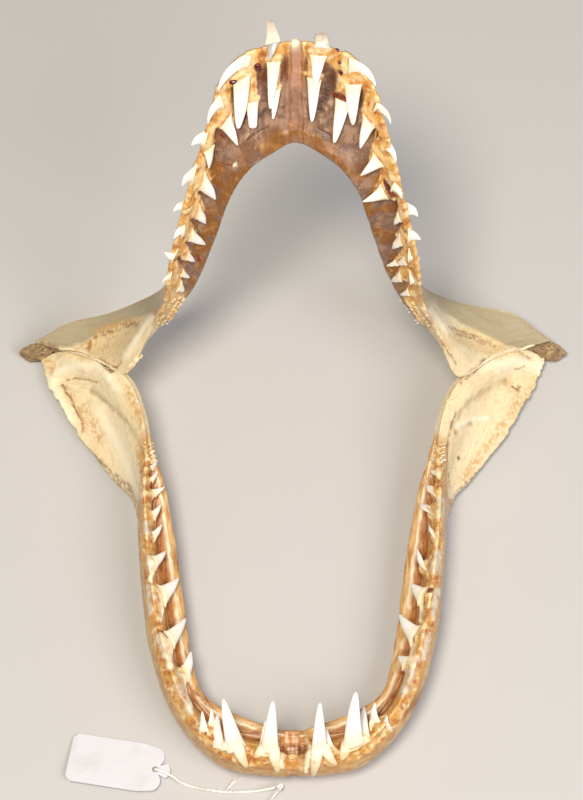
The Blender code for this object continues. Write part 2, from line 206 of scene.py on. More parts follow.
# Each lobe of the scalloped end: how far its middle is from the end, how far it is across as a
# share of half the width, and the turns at which it starts and ends in degrees.
TAG_LOBES = ((7.0, -0.5, -70, 50), (3.6, 0.0, -45, 45), (7.0, 0.5, -50, 70))
TAG_LOBE_POINTS = 12
TAG_HOLE_RADIUS, TAG_HOLE_INSET = 1.3, 5.5
TAG_PLACE = (-74.6, -157.8)
TAG_TURN, TAG_ROLL, TAG_LIFT = math.radians(-9.0), math.radians(7.0), 0.4
TAG_POINTS, TAG_ROWS = 150, 26
# How deep and how wide the buckles of the card are, and the seeds of their noise.
TAG_BUCKLES = ((0.25, 13.0, 5), (0.125, 5.0, 6))
TAG_SHARP_ANGLE = math.radians(40)

CAP_RINGS = (0.95, 0.8, 0.5, 0.0)
# In metres: how far all stays inside the model's box, and how near points are that become one.
INSIDE, MERGED = 1e-5, 1e-6
NOTHING = 1e-9
# How far the noise of one seed is from that of the next.
SEED_STEPS = (17.3, 5.9, 11.7)


def unit(vectors):
    """The vectors at a length of 1."""
    return vectors / np.maximum(np.linalg.norm(vectors, axis=-1, keepdims=True), NOTHING)


def on_curve(rows, where):
    """The rows at these places on a smooth curve through rows of numbers."""
    rows = np.array(rows, float)
    last = len(rows) - 1
    start = np.clip(np.floor(where).astype(int), 0, last - 1)
    share = (where - start)[:, None]
    before, here = rows[np.maximum(start - 1, 0)], rows[start]
    there, after = rows[start + 1], rows[np.minimum(start + 2, last)]
    return 0.5 * (
        2 * here
        + (there - before) * share
        + (2 * before - 5 * here + 4 * there - after) * share**2
        + (3 * here - before - 3 * there + after) * share**3
    )


def smooth_route(route, count):
    """This many points on a smooth curve through the points of a route."""
    return on_curve(route, np.linspace(0, len(route) - 1, count))


def strand(route, half_widths, flatness=1.0, sides=8, facing=(0.0, 0.0, 1.0)):
    """The closed grid of a fibre, a flap or a bead along a route, flattened towards facing."""
    along = unit(np.gradient(route, axis=0))
    across = unit(np.cross(along, facing))
    up = np.cross(across, along) * flatness
    turn = np.linspace(0, math.tau, sides, endpoint=False)[:, None]
    ring = across[:, None] * np.cos(turn) + up[:, None] * np.sin(turn)
    return route[:, None] + ring * np.reshape(half_widths, (-1, 1, 1))


def capped(grid, caps):
    """A closed grid with rings added at both ends that shrink to a point."""
    ends = []
    for ring in (grid[:1], grid[-1:]):
        middle = ring.mean(1, keepdims=True)
        ends.append([middle + (ring - middle) * share for share in caps])
    return np.concatenate(ends[0][::-1] + [grid] + ends[1])


def wrapped(name, grid, material, to_world, marks=None, lie=None, caps=CAP_RINGS):
    """A grid primitive wrapped round a closed grid of points in millimetres, and sewn shut.

    marks gives each point named shares from 0 to 1 for the material to read, and lie its place on the
    surface in millimetres.
    """
    grid = capped(grid, caps)
    grid = np.concatenate([grid, grid[:, :1]], axis=1)
    rows, count = grid.shape[:2]
    deselect()
    bpy.ops.mesh.primitive_grid_add(x_subdivisions=count - 1, y_subdivisions=rows - 1)
    thing = bpy.context.object
    thing.name = thing.data.name = name
    flat = (np.c_[grid.reshape(-1, 3), np.ones(rows * count)] @ np.array(to_world).T)[:, :3]
    flat = np.clip(flat, np.array(cad_low) + INSIDE, np.array(cad_high) - INSIDE)
    thing.data.vertices.foreach_set("co", flat.ravel())
    ends = (len(caps), len(caps))
    for mark, values in (marks or {}).items():
        values = np.pad(values, (ends, (0, 1)), mode="edge")
        values[:, -1] = values[:, 0]
        layer = thing.data.attributes.new(mark, "FLOAT", "POINT")
        layer.data.foreach_set("value", np.clip(values, 0, 1).astype(np.float32).ravel())
    if lie is not None:
        places = np.pad(lie * MM, (ends, (0, 1), (0, 1)), mode="edge")
        places[..., 2] = 0.0
        places[:, -1] = places[:, 0]
        layer = thing.data.attributes.new("lie", "FLOAT_VECTOR", "POINT")
        layer.data.foreach_set("vector", places.astype(np.float32).ravel())
    bpy.ops.object.mode_set(mode="EDIT")
    bpy.ops.mesh.select_all(action="SELECT")
    bpy.ops.mesh.remove_doubles(threshold=MERGED)
    bpy.ops.mesh.normals_make_consistent(inside=False)
    bpy.ops.object.mode_set(mode="OBJECT")
    thing.data.shade_smooth()
    thing.data.materials.append(material)
    return thing


def joined(name, grids, material, to_world):
    """One piece from many small closed grids. The mark "up" runs from 0 to 1 along each."""
    parts = []
    for index, grid in enumerate(grids):
        up = np.repeat(np.linspace(0, 1, len(grid))[:, None], grid.shape[1], axis=1)
        parts.append(wrapped(f"{name}_{index}", grid, material, to_world, {"up": up}))
    deselect()
    for part in parts:
        part.select_set(True)
    bpy.context.view_layer.objects.active = parts[0]
    bpy.ops.object.join()
    piece = bpy.context.object
    piece.name = piece.data.name = name
    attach(piece, "root")
    return piece


def patterns_on(tree, place, sizes):
    """Noise patterns by name, each with grains of this length, breadth and height in millimetres."""
    found = {}
    for name, grain in sizes.items():
        scale = [1 / (size * MM) for size in grain]
        fitted = add_node(tree, "ShaderNodeMapping", {"Vector": place, "Scale": scale})
        pattern = add_node(
            tree, "ShaderNodeTexNoise",
            {"Vector": fitted.outputs["Vector"], "Scale": 1.0, "Detail": 3.0, "Roughness": 0.55},
        )
        found[name] = pattern.outputs["Fac"]
    return found


def coated(tree, colour, coats, patterns):
    """A colour with coats laid over it.

    Each coat is its colour, how much it covers at most, the mark that it keeps to or None, and the
    pattern or mark that breaks it up or None: its name and the values where the coat starts and is whole.
    """
    for coat, most, mark, pattern in coats:
        share = most
        if pattern:
            name, low, high = pattern
            if name not in patterns:
                patterns[name] = add_node(tree, "ShaderNodeAttribute", attribute_name=name).outputs["Fac"]
            fitted = add_node(
                tree, "ShaderNodeMapRange",
                {"Value": patterns[name], "From Min": low, "From Max": high, "To Max": most},
                interpolation_type="SMOOTHSTEP",
            )
            share = fitted.outputs["Result"]
        if mark:
            found = add_node(tree, "ShaderNodeAttribute", attribute_name=mark).outputs["Fac"]
            limited = add_node(tree, "ShaderNodeMath", {0: found, 1: share}, operation="MULTIPLY")
            share = limited.outputs["Value"]
        mixed = add_node(tree, "ShaderNodeMix", {0: share, 6: colour, 7: linear(coat)}, data_type="RGBA")
        colour = mixed.outputs[2]
    return colour


def layered_material(name, base, grains, coats, bumps, values, lie_grains=None, gloss=None):
    """A material with coats of colour and bumps, both broken up by patterns.

    grains are those of its patterns, and lie_grains those of the patterns that follow the surface. bumps
    names the patterns that raise them, with the depth in millimetres and the strength. values are those
    of the shader's sockets. gloss is a pattern, two values of it, and the roughness at each of them.
    """
    material, tree, shader = new_material(name)
    patterns = patterns_on(tree, add_node(tree, "ShaderNodeTexCoord").outputs["Object"], grains)
    if lie_grains:
        lie = add_node(tree, "ShaderNodeAttribute", attribute_name="lie").outputs["Vector"]
        patterns |= patterns_on(tree, lie, lie_grains)
    tree.links.new(coated(tree, linear(base), coats, patterns), shader.inputs["Base Color"])
    raised, depth, strength = bumps
    height = patterns[raised[0]]
    for other in raised[1:]:
        total = add_node(tree, "ShaderNodeMath", {0: height, 1: patterns[other]}, operation="ADD")
        height = total.outputs["Value"]
    relief = add_node(
        tree, "ShaderNodeBump", {"Height": height, "Strength": strength, "Distance": depth * MM}
    )
    tree.links.new(relief.outputs["Normal"], shader.inputs["Normal"])
    for socket, value in values.items():
        shader.inputs[socket].default_value = value
    if gloss:
        pattern, low, high, least, most = gloss
        fitted = add_node(
            tree, "ShaderNodeMapRange",
            {"Value": patterns[pattern], "From Min": low, "From Max": high, "To Min": least, "To Max": most},
        )
        tree.links.new(fitted.outputs["Result"], shader.inputs["Roughness"])
    return material


def roughness(points, size, seed):
    """Smooth noise from -1 to 1 with lumps of this size at each of the points."""
    shift = Vector([seed * step for step in SEED_STEPS])
    flat = points.reshape(-1, 3) / size
    values = [noise.noise(Vector(point) + shift) for point in flat]
    return np.array(values).reshape(points.shape[:-1])


# Spun cotton: matt and slightly fuzzy, off-white, a little soiled.
cotton = layered_material(
    "spun cotton string", "#f6f3ec", {"soil": (7.0, 7.0, 7.0), "fibre": (0.25, 0.25, 0.25)},
    (("#cfc5b2", 0.6, None, ("soil", 0.45, 0.7)), ("#b9ae9a", 0.5, None, ("fibre", 0.5, 0.75))),
    bumps=(("fibre",), 0.12, 0.8), values={"Roughness": 0.92, "Sheen Weight": 0.3},
)

random.seed(11)
string_path = smooth_route(STRING_ROUTE, STRING_RINGS)
string_length = np.linalg.norm(np.diff(string_path, axis=0), axis=1).sum()
turn = np.linspace(0, string_length / PLY_PITCH * math.tau, STRING_RINGS)[:, None]
along = unit(np.gradient(string_path, axis=0))
across = unit(np.cross(along, (0.0, 0.0, 1.0)))
up = np.cross(across, along)
plies = []
for start in (0.0, math.pi):
    ply = string_path + PLY_OFFSET * (across * np.cos(turn + start) + up * np.sin(turn + start))
    plies.append(strand(ply, np.full(STRING_RINGS, PLY_RADIUS)))
string = joined("cotton_string", plies, cotton, FLOOR_TO_WORLD)
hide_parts("tag_string")

# An overhand knot pulled tight: the string's line in it is a trefoil.
turn = np.linspace(0, math.tau, KNOT_RINGS)
trefoil = np.stack([
    np.sin(turn) + 2 * np.sin(2 * turn),
    np.cos(turn) - 2 * np.cos(2 * turn),
    -1.5 * np.sin(3 * turn),
], axis=1)
knot_strand = strand(KNOT_PLACE + KNOT_SIZE * trefoil, np.full(KNOT_RINGS, KNOT_RADIUS))
knot = joined("cotton_knot", [knot_strand], cotton, FLOOR_TO_WORLD)
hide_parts("string_knot")


def frayed(route, fibres, spread, radius):
    """Loose fibres that part from each other along a route."""
    found = []
    share = np.linspace(0, 1, FIBRE_POINTS)[:, None]
    for _ in range(fibres):
        bend, bow = (
            np.array([random.uniform(-most, most) for most in (1, 1, rise)]) for rise in FIBRE_RISES
        )
        line = smooth_route(route, FIBRE_POINTS)
        line = line + spread * (bend * share**1.5 + FIBRE_BOW * bow * np.sin(math.pi * share))
        line[:, 2] = np.maximum(line[:, 2], radius + FIBRE_CLEARANCE)
        found.append(strand(line, radius * np.linspace(1.0, FIBRE_TAPER, FIBRE_POINTS), sides=FIBRE_SIDES))
    return found


tail = joined("frayed_end", frayed(TAIL_ROUTE, *TAIL_FIBRES), cotton, FLOOR_TO_WORLD)
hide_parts("string_tail")


def on_floor(seen, height):
    """The place at this height over the floor that the camera sees at this pixel, in millimetres."""
    eye = FLOOR_TO_WORLD.inverted() @ (GAPE_TO_WORLD @ CAMERA)
    ray = FLOOR_TO_WORLD.inverted() @ (GAPE_TO_WORLD @ (CAMERA + sight(seen))) - eye
    return eye + ray * ((height - eye.z) / ray.z)


fork_fibres = []
for fork in FORK_ROUTES:
    fork_fibres += frayed([on_floor(seen, FORK_HEIGHT) for seen in fork], *FORK_FIBRES)
fork = joined("frayed_fork", fork_fibres, cotton, FLOOR_TO_WORLD)


def tag_outline():
    """The outline of the tag, evenly spaced: round corners at one end and three lobes at the other."""
    half_length, half_width = TAG_LENGTH / 2, TAG_WIDTH / 2
    outline = []
    for from_end, across_share, first, last in TAG_LOBES:
        for angle in np.radians(np.linspace(first, last, TAG_LOBE_POINTS)):
            outline.append((
                half_length - from_end + TAG_LOBE_RADIUS * math.cos(angle),
                half_width * across_share + TAG_LOBE_RADIUS * math.sin(angle),
            ))
    outline.append((half_length - TAG_LOBES_START, half_width))
    outline += [(TAG_CORNER - half_length, half_width), (-half_length, half_width - TAG_CORNER)]
    outline += [(-half_length, TAG_CORNER - half_width), (TAG_CORNER - half_length, -half_width)]
    outline.append((half_length - TAG_LOBES_START, -half_width))
    outline = np.array(outline + outline[:1])
    length = np.concatenate([[0], np.cumsum(np.linalg.norm(np.diff(outline, axis=0), axis=1))])
    even = np.linspace(0, length[-1], TAG_POINTS, endpoint=False)
    return np.stack([np.interp(even, length, outline[:, axis]) for axis in (0, 1)], axis=1)


edge = tag_outline()
hole = np.array((TAG_LENGTH / 2 - TAG_HOLE_INSET, 0.0))
hole_edge = hole + TAG_HOLE_RADIUS * unit(edge - hole)
face = hole_edge + (edge - hole_edge) * np.linspace(0, 1, TAG_ROWS)[:, None, None]
sheet_of_card = np.concatenate([face, face[::-1], face[:1]])
height = np.concatenate([np.full(TAG_ROWS, TAG_THICKNESS), np.zeros(TAG_ROWS), [TAG_THICKNESS]])
card = np.concatenate([sheet_of_card, np.repeat(height[:, None, None], TAG_POINTS, axis=1)], axis=2)
level = np.concatenate([sheet_of_card, np.zeros_like(sheet_of_card[..., :1])], axis=2)
for depth, width, seed in TAG_BUCKLES:
    card[..., 2] += depth * roughness(level, width, seed)
tag_to_world = (
    FLOOR_TO_WORLD
    @ Matrix.Translation((*TAG_PLACE, TAG_WIDTH / 2 * math.sin(TAG_ROLL) + TAG_LIFT))
    @ Matrix.Rotation(TAG_TURN, 4, "Z")
    @ Matrix.Rotation(-TAG_ROLL, 4, "X")
)

# Coated card: smooth and white, faintly mottled and a little grubby.
paper = layered_material(
    "coated white card", "#d6d7da", {"smudge": (9.0, 9.0, 9.0), "pulp": (0.5, 0.5, 0.5)},
    (("#cbc9c4", 0.6, None, ("smudge", 0.5, 0.72)), ("#c6c4c0", 0.5, None, ("pulp", 0.5, 0.75))),
    bumps=(("pulp",), 0.03, 0.5), values={"Roughness": 0.62},
)

tag = wrapped("card_tag", card, paper, tag_to_world, caps=())
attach(tag, "root")
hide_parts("tag")
tag.data.set_sharp_from_angle(angle=TAG_SHARP_ANGLE)

# ------------------------------------------------------------------- form of the four halves
# Each half of a jaw is one bar of cartilage from the middle of the mouth to the joint. Along its
# teeth it is three-sided: the bed of the teeth, the hidden side and the outer side. Behind the
# teeth it flares into a thin wing.

# One row per station: biting edge, inner rim and outer margin, then how far the outer side swells
# (minus: is hollowed), how far the hidden side swells, and how deeply the bed is cupped.
LOWER_STATIONS = (
    ((4.8, -149.5, 60), (4.8, -140, 50), (4.8, -160, 36), 5.5, 1.5, 0.5),
    ((27, -146.5, 59), (24, -133, 47.5), (29.5, -156, 35), 5.0, 2.0, 1.5),
    ((44, -130, 54.5), (38.5, -124.5, 42), (48, -136, 31), 5.5, 2.5, 1.5),
    ((55.5, -102.5, 44), (44.5, -104, 30), (59, -106, 21.5), 5.0, 3.0, 2.0),
    ((62, -69, 30), (49.5, -71, 17), (63.5, -73.5, 6), 4.2, 3.0, 2.5),
    ((64.7, -39, 19), (56, -38, 8), (70.5, -47.5, -7), 1.0, 3.0, 1.5),
    ((64, -26, 14), (60.5, -25, 6), (80.5, -37, -14), -2.5, 5.5, 0.6),
    ((66.5, -6, 7), (65, -5, 1), (97, -17.5, -22), -4.0, 6.0, 0.2),
    ((74, 9.5, -1), (72.5, 10.5, -5.5), (107, -2, -28), -3.5, 6.0, 0.2),
    ((86.5, 16.2, -14), (85.5, 17, -18), (112, 6, -33), -2.0, 4.5, 0.2),
    ((105, 23.4, -31), (104.5, 23.6, -35), (116.5, 19, -38.5), 0.5, 2.5, 0.2),
)
UPPER_STATIONS = (
    ((4.3, 144, 110), (4.3, 104, 88), (4.3, 115, 77), 3.5, 3.0, 2.0),
    ((21, 139, 108), (17, 96, 84), (20, 108, 72), 3.5, 3.0, 2.0),
    ((30.5, 128.5, 104), (24.5, 88, 77.5), (28, 98, 64), 3.5, 3.0, 2.0),
    ((36.5, 110, 94), (29.5, 79, 66), (34.5, 85, 48), 3.5, 3.0, 1.5),
    ((44, 86.5, 78), (34.5, 67.5, 48), (43.5, 69.5, 24), 3.5, 3.5, 1.5),
    ((51.5, 61, 56), (42.5, 50.5, 31), (52, 56, 6), 2.5, 3.5, 1.0),
    ((56, 41, 34), (53, 37, 21), (60.5, 49, -9), 0.5, 4.0, 0.6),
    ((64.5, 26.5, 17), (63.7, 26.5, 9), (84, 40, -20), -3.0, 5.5, 0.2),
    ((73.6, 12.2, 1), (72.8, 13, -4), (102, 36.3, -28), -4.0, 6.0, 0.2),
    ((86.5, 17, -13.5), (85.8, 17.8, -17), (111.5, 31.5, -32), -2.0, 4.5, 0.2),
    ((105.5, 22.5, -29), (105, 23.1, -33), (119.5, 27, -37), 1.0, 3.0, 0.2),
)

# The corners of a section on its sides: share of the way along, and share of that side's swell.
BED_CORNERS = ((0.33, -1.0), (0.72, -0.8))
HIDDEN_CORNERS = ((0.25, 0.7), (0.55, 1.0), (0.85, 0.55))
OUTER_CORNERS = ((0.8, 0.6), (0.55, 1.0))
SHOULDER_SHARE, SHOULDER_RISE, WING_SHOULDER = 0.22, 0.75, 1.0
MARGIN_EDGE, WING_EDGE = 2.2, 1.0
# Points between one corner and the next, and where each corner stands on the scale 0 (biting
# edge), 1 (inner rim), 2 (hidden side of the margin), 3 (outer side of it) and 4 (biting edge).
STEPS = (26, 28, 20, 10, 12, 12, 8, 4, 10, 12, 14, 14)
CORNER_SCALE = (0.0, 0.33, 0.72, 1.0, 1.25, 1.55, 1.85, 2.0, 3.0, 3.2, 3.45, 3.78, 4.0)
MARGIN_PLACE = 2.5
RINGS = 400
FINE_STEPS = 2000
SOFTENING = 20

UPPER_LEAN, LEAN_HEIGHT = 1.6, 100.0
# Where the right side dried out of true: how far it rose (minus: sank), where and how widely.
RIGHT_SHIFTS = ((-2.2, (72.0, 4.0), 20.0), (4.2, (94.0, 40.0), 15.0))
# The depths at which a place is looked for that the camera doesn't see on a half itself.
SEARCHED_DEPTHS = range(-40, 130, 3)


def dried(points):
    """How the specimen dried unevenly: the upper jaw leans, and the right side gapes wider."""
    moved = np.array(points, float)
    right = moved[..., 0] > 0
    moved[..., 0] += UPPER_LEAN * np.clip(moved[..., 1] / LEAN_HEIGHT, 0.0, 1.0)
    for rise, (x, y), reach in RIGHT_SHIFTS:
        away = ((moved[..., 0] - x) ** 2 + (moved[..., 1] - y) ** 2) / reach**2
        moved[..., 1] += right * rise * np.exp(-0.5 * away)
    return moved


def between_stations(stations, where):
    """The rows at these places along the stations, on a smooth curve through them."""
    return on_curve([[*bite, *rim, *margin, *swells] for bite, rim, margin, *swells in stations], where)


def off_side(start, end, third, share, swell):
    """The points at this share of one side of each section, moved off it by swell."""
    along = unit(end - start)
    away = start - third
    away = unit(away - along * np.sum(away * along, -1, keepdims=True))
    return start + (end - start) * share + away * np.reshape(swell, (-1, 1))


def even_places(stations, rings):
    """This many places along the stations, evenly spaced on the bar."""
    fine = np.linspace(0, len(stations) - 1, FINE_STEPS)
    middle = between_stations(stations, fine)[:, :9].reshape(-1, 3, 3).mean(1)
    length = np.concatenate([[0], np.cumsum(np.linalg.norm(np.diff(middle, axis=0), axis=1))])
    return np.interp(np.linspace(0, length[-1], rings), length, fine)


def softened(grid, rounds, along=False):
    """A grid smoothed round each of its sections, and along the bar too if asked."""
    for _ in range(rounds):
        grid = 0.5 * grid + 0.25 * (np.roll(grid, 1, axis=1) + np.roll(grid, -1, axis=1))
        if along:
            padded = np.pad(grid, ((1, 1), (0, 0)), mode="edge")
            grid = 0.5 * grid + 0.25 * (padded[2:] + padded[:-2])
    return grid


def bar_form(stations, side, rings):
    """The smooth bar of one half: its points and normals, and each point's station and place round it."""
    where = even_places(stations, rings)
    rows = between_stations(stations, where)
    bite, rim, margin = rows[:, 0:3], rows[:, 3:6], rows[:, 6:9]
    outer, hidden, cup = rows[:, 9], rows[:, 10], rows[:, 11]
    shoulder = np.where(outer > 0, SHOULDER_RISE * outer, WING_SHOULDER)
    half_edge = np.interp(outer, (-1.0, 1.0), (WING_EDGE / 2, MARGIN_EDGE / 2))
    corners = [bite]
    corners += [off_side(bite, rim, margin, share, cup * part) for share, part in BED_CORNERS]
    corners += [rim]
    corners += [off_side(rim, margin, bite, share, hidden * part) for share, part in HIDDEN_CORNERS]
    corners += [off_side(rim, margin, bite, 1.0, half_edge), off_side(bite, margin, rim, 1.0, half_edge)]
    corners += [off_side(bite, margin, rim, share, outer * part) for share, part in OUTER_CORNERS]
    corners += [off_side(bite, margin, rim, SHOULDER_SHARE, shoulder)]
    ring, scale = [], []
    for index, steps in enumerate(STEPS):
        here, there = corners[index], corners[(index + 1) % len(corners)]
        for step in range(steps):
            ring.append(here + (there - here) * step / steps)
            scale.append(np.interp(step / steps, (0, 1), CORNER_SCALE[index:index + 2]))
    points = softened(np.stack(ring, axis=1), SOFTENING)
    points[..., 0] *= side
    points = dried(points)
    round_ = np.repeat(np.array(scale)[None], rings, axis=0)
    along = np.cumsum(np.linalg.norm(np.gradient(points.mean(axis=1), axis=0), axis=1))
    steps = np.linalg.norm(np.roll(points, -1, axis=1) - points, axis=-1)
    girth = np.cumsum(steps, axis=1) - steps
    girth = np.where(round_ > MARGIN_PLACE, girth - steps.sum(axis=1, keepdims=True), girth)
    along = np.repeat(along[:, None], len(ring), axis=1)
    return {
        "points": points,
        "normals": outward(points),
        "station": np.repeat(where[:, None], len(ring), axis=1),
        "round": round_,
        "lie": np.stack([along, girth], axis=-1),
        "side": side,
    }


def outward(points):
    """The outward normals of a closed grid."""
    along = np.gradient(points, axis=0)
    across = np.roll(points, -1, axis=1) - np.roll(points, 1, axis=1)
    normals = unit(np.cross(along, across))
    middle = points.mean(axis=1, keepdims=True)
    facing = np.sum(normals * (points - middle), axis=(1, 2))
    return normals * np.sign(np.median(facing))


halves = {}
for side, word in ((-1, "left"), (1, "right")):
    halves["upper_" + word] = bar_form(UPPER_STATIONS, side, RINGS)
    halves["lower_" + word] = bar_form(LOWER_STATIONS, side, RINGS)


def sight_tree(grid):
    """A tree for finding what the camera sees of a grid of points."""
    points = grid[::2, ::2]
    rows, count = points.shape[:2]
    faces = []
    for row in range(rows - 1):
        for index in range(count):
            here, beside = row * count + index, row * count + (index + 1) % count
            faces.append((here, beside, beside + count, here + count))
    return BVHTree.FromPolygons([tuple(point) for point in points.reshape(-1, 3)], faces)


for form in halves.values():
    form["tree"] = sight_tree(form["points"])


def on_bed(form, seen):
    """The place on a half that the camera sees at this pixel, or the nearest to it, and its normal."""
    place, normal, _, _ = form["tree"].ray_cast(CAMERA, sight(seen))
    if place is None:
        tries = [form["tree"].find_nearest(at_depth(seen, depth)) for depth in SEARCHED_DEPTHS]
        place, normal, _, _ = min(tries, key=lambda found: found[3])
    return place, normal if normal.z > 0 else -normal


# ---------------------------------------------------------------------------- where teeth are
# Each tooth as seen: the two ends of the line where its crown comes out of the gum, and its point.
# Then how far the point stands off the bed in millimetres (lying teeth), or how much nearer to the
# camera it is than the gum (proud teeth). A broken crown has one more number: the breadth of its
# blunt end as a share of its foot.

UPPER_PROUD = {
    "left": (
        ((248, 49), (247, 69), (218, 91), 0),
        ((218, 95), (224, 111), (208, 125), 0),
        ((207, 128), (201, 150), (191, 146), 1),
        ((197, 163), (191, 189), (182, 187), 1),
        ((185, 199), (183, 215), (173, 212), 1),
        ((183, 222), (179, 240), (174, 239), 1),
        ((178, 247), (171, 262), (164, 252), 1),
        ((171, 271), (167, 286), (162, 284), 1),
    ),
    "right": (
        ((351, 56), (349, 76), (376, 87), 0),
        ((378, 102), (373, 114), (391, 125), 0),
        ((388, 138), (386, 154), (396, 163), 1),
        ((397, 181), (392, 194), (402, 199), 1),
        ((405, 202), (409, 221), (418, 217), 1),
        ((410, 227), (409, 246), (421, 240), 1),
        ((410, 248), (411, 264), (420, 260), 1),
        ((410, 269), (411, 286), (420, 277), 1),
    ),
}
BROKEN_CROWNS = {
    "left": (((261, 42), (281, 43), (268, 18), -4, 0.38),),
    "right": (((313, 47), (331, 49), (321, 33), 0, 0.72),),
}
UPPER_LYING = {
    "left": (
        ((266, 62), (281, 61), (270, 110), 2.0),
        ((271, 92), (281, 88), (273, 120), 1.6),
        ((232, 84), (251, 72), (238, 130), 2.2),
        ((245, 103), (259, 101), (253, 129), 1.5, 0.6),
        ((219, 129), (232, 112), (238, 146), 2.2),
        ((202, 153), (214, 144), (209, 169), 2.0),
        ((197, 191), (204, 169), (216, 200), 2.0),
        ((194, 219), (199, 202), (206, 224), 2.0),
        ((187, 241), (192, 227), (206, 245), 1.8),
        ((184, 260), (188, 249), (195, 262), 1.5),
        ((179, 276), (183, 268), (190, 278), 1.2),
        ((175, 291), (181, 279), (184, 292), 1.2),
    ),
    "right": (
        ((309, 54), (328, 56), (315, 89), 3.0),
        ((305, 78), (322, 80), (312, 123), 1.8),
        ((344, 84), (363, 84), (353, 126), 2.2),
        ((335, 98), (351, 104), (334, 144), 1.8),
        ((363, 113), (376, 128), (360, 149), 2.2),
        ((372, 151), (385, 167), (360, 176), 2.2),
        ((379, 182), (389, 199), (362, 202), 2.2),
        ((399, 210), (403, 222), (394, 225), 1.8),
        ((401, 231), (404, 246), (392, 249), 1.8),
        ((404, 254), (408, 265), (397, 265), 1.5),
        ((395, 258), (399, 265), (386, 266), 1.2),
        ((400, 270), (403, 281), (391, 281), 1.2),
        ((408, 287), (411, 295), (400, 295), 1.0),
    ),
}
LOWER_PROUD = {
    "left": (
        ((259, 750), (280, 751), (273, 700), 9),
        ((226, 752), (247, 744), (223, 698), 9),
        ((198, 728), (210, 732), (202, 711), 5),
        ((206, 725), (216, 725), (211, 708), 4),
    ),
    "right": (
        ((310, 752), (329, 748), (320, 702), 9),
        ((342, 748), (365, 742), (356, 691), 9),
        ((369, 718), (382, 722), (375, 702), 5),
        ((380, 722), (391, 727), (387, 715), 4),
    ),
}
LOWER_LYING = {
    "left": (
        ((259, 746), (269, 744), (266, 720), 5.0),
        ((213, 746), (227, 748), (217, 714), 5.0),
        ((180, 665), (188, 683), (191, 651), 2.5),
        ((162, 631), (173, 650), (186, 618), 2.8),
        ((156, 584), (164, 608), (179, 578), 2.8),
        ((150, 555), (154, 571), (166, 551), 2.5),
        ((150, 531), (153, 542), (162, 524), 2.0),
        ((150, 510), (154, 521), (161, 504), 2.0),
        ((151, 489), (155, 498), (165, 487), 1.8),
        ((149, 477), (152, 483), (158, 471), 1.4),
        ((149, 465), (152, 471), (157, 461), 1.2),
    ),
    "right": (
        ((322, 747), (335, 748), (326, 728), 5.0),
        ((357, 742), (371, 737), (364, 706), 5.0),
        ((403, 672), (413, 655), (398, 656), 2.0),
        ((412, 648), (422, 625), (399, 614), 2.8),
        ((419, 607), (430, 586), (410, 583), 2.8),
        ((420, 561), (429, 571), (417, 548), 2.5),
        ((432, 530), (438, 546), (429, 525), 2.0),
        ((428, 505), (437, 517), (420, 503), 2.0),
        ((433, 486), (438, 498), (427, 485), 1.8),
        ((436, 471), (440, 479), (430, 471), 1.4),
        ((437, 458), (441, 466), (430, 459), 1.2),
    ),
}
# The grey crown of a tooth that has yet to rise, in the same way.
OLD_CROWNS = {"upper_left": (((263, 44), (281, 43), (269, 61), 0.6),)}
# The rows end in crowns too small to tell apart: the first and last of each line of them, how many
# there are, and how far the lines are from each other.
TINY_ROWS = {
    "upper_left": ((178, 297), (160, 327), 8, 5.0),
    "upper_right": ((408, 300), (425, 326), 7, 5.0),
    "lower_left": ((151, 462), (148, 441), 5, 3.4),
    "lower_right": ((440, 462), (440, 441), 5, 3.4),
}
# In pixels: half their breadth and their length, then how far they stand off the bed in millimetres.
TINY_HALF, TINY_LENGTH, TINY_LIFT = 2.5, 4.2, 0.8
TINY_SHRINK, TINY_SIZES = 0.55, (0.7, 1.1)
# How far a tiny crown strays along its line, off it, and at its point.
TINY_STRAYS = (-0.2, 0.2), (-0.6, 0.6), (-1.5, 0.5)
FOOT_LIFT, FOOT_LIFT_MOST = 0.55, 1.0
# The rows of each side as they are made: the name, the teeth as seen, and whether they stand proud.
TOOTH_ROWS = (
    ("upper_outer_row", UPPER_PROUD, True),
    ("upper_broken_crown", BROKEN_CROWNS, True),
    ("upper_inner_row", UPPER_LYING, False),
    ("upper_last_rows", None, False),
    ("lower_front_teeth", LOWER_PROUD, True),
    ("lower_inner_row", LOWER_LYING, False),
    ("lower_last_rows", None, False),
)


def tooth_place(form, seen_tooth, proud):
    """Where a tooth stands: the middle and half width of its foot, its point, and the bed's normal."""
    one_end, other_end, tip, lift, *blunt = seen_tooth
    first, first_normal = on_bed(form, one_end)
    second, second_normal = on_bed(form, other_end)
    foot, half = (first + second) / 2, (second - first) / 2
    normal = (first_normal + second_normal).normalized()
    base = foot if proud else on_bed(form, tip)[0]
    rise = min(FOOT_LIFT_MOST, FOOT_LIFT * half.length)
    return {
        "foot": foot + (Vector((0, 0, 1)) if proud else normal) * rise,
        "half": half, "point": at_depth(tip, base.z + lift),
        "normal": normal, "blunt": sum(blunt),
    }


def tiny_teeth(form, first, last, count, apart):
    """The last crowns of three lines, which point into the mouth."""
    first, last = Vector(first), Vector(last)
    along = (last - first).normalized()
    inward = Vector((-form["side"], 0.0))
    along_stray, off_stray, tip_stray = TINY_STRAYS
    found = []
    for line in (-1, 0, 1):
        for index in range(count):
            share = (index + 0.5 * (line % 2) + random.uniform(*along_stray)) / count
            size = (1 - TINY_SHRINK * share) * random.uniform(*TINY_SIZES)
            middle = first.lerp(last, share) + inward * (apart * line + random.uniform(*off_stray))
            ends = middle - along * TINY_HALF * size, middle + along * TINY_HALF * size
            tip = middle + (inward * TINY_LENGTH + along * random.uniform(*tip_stray)) * size
            found.append(tooth_place(form, (*ends, tip, TINY_LIFT), False))
    return found


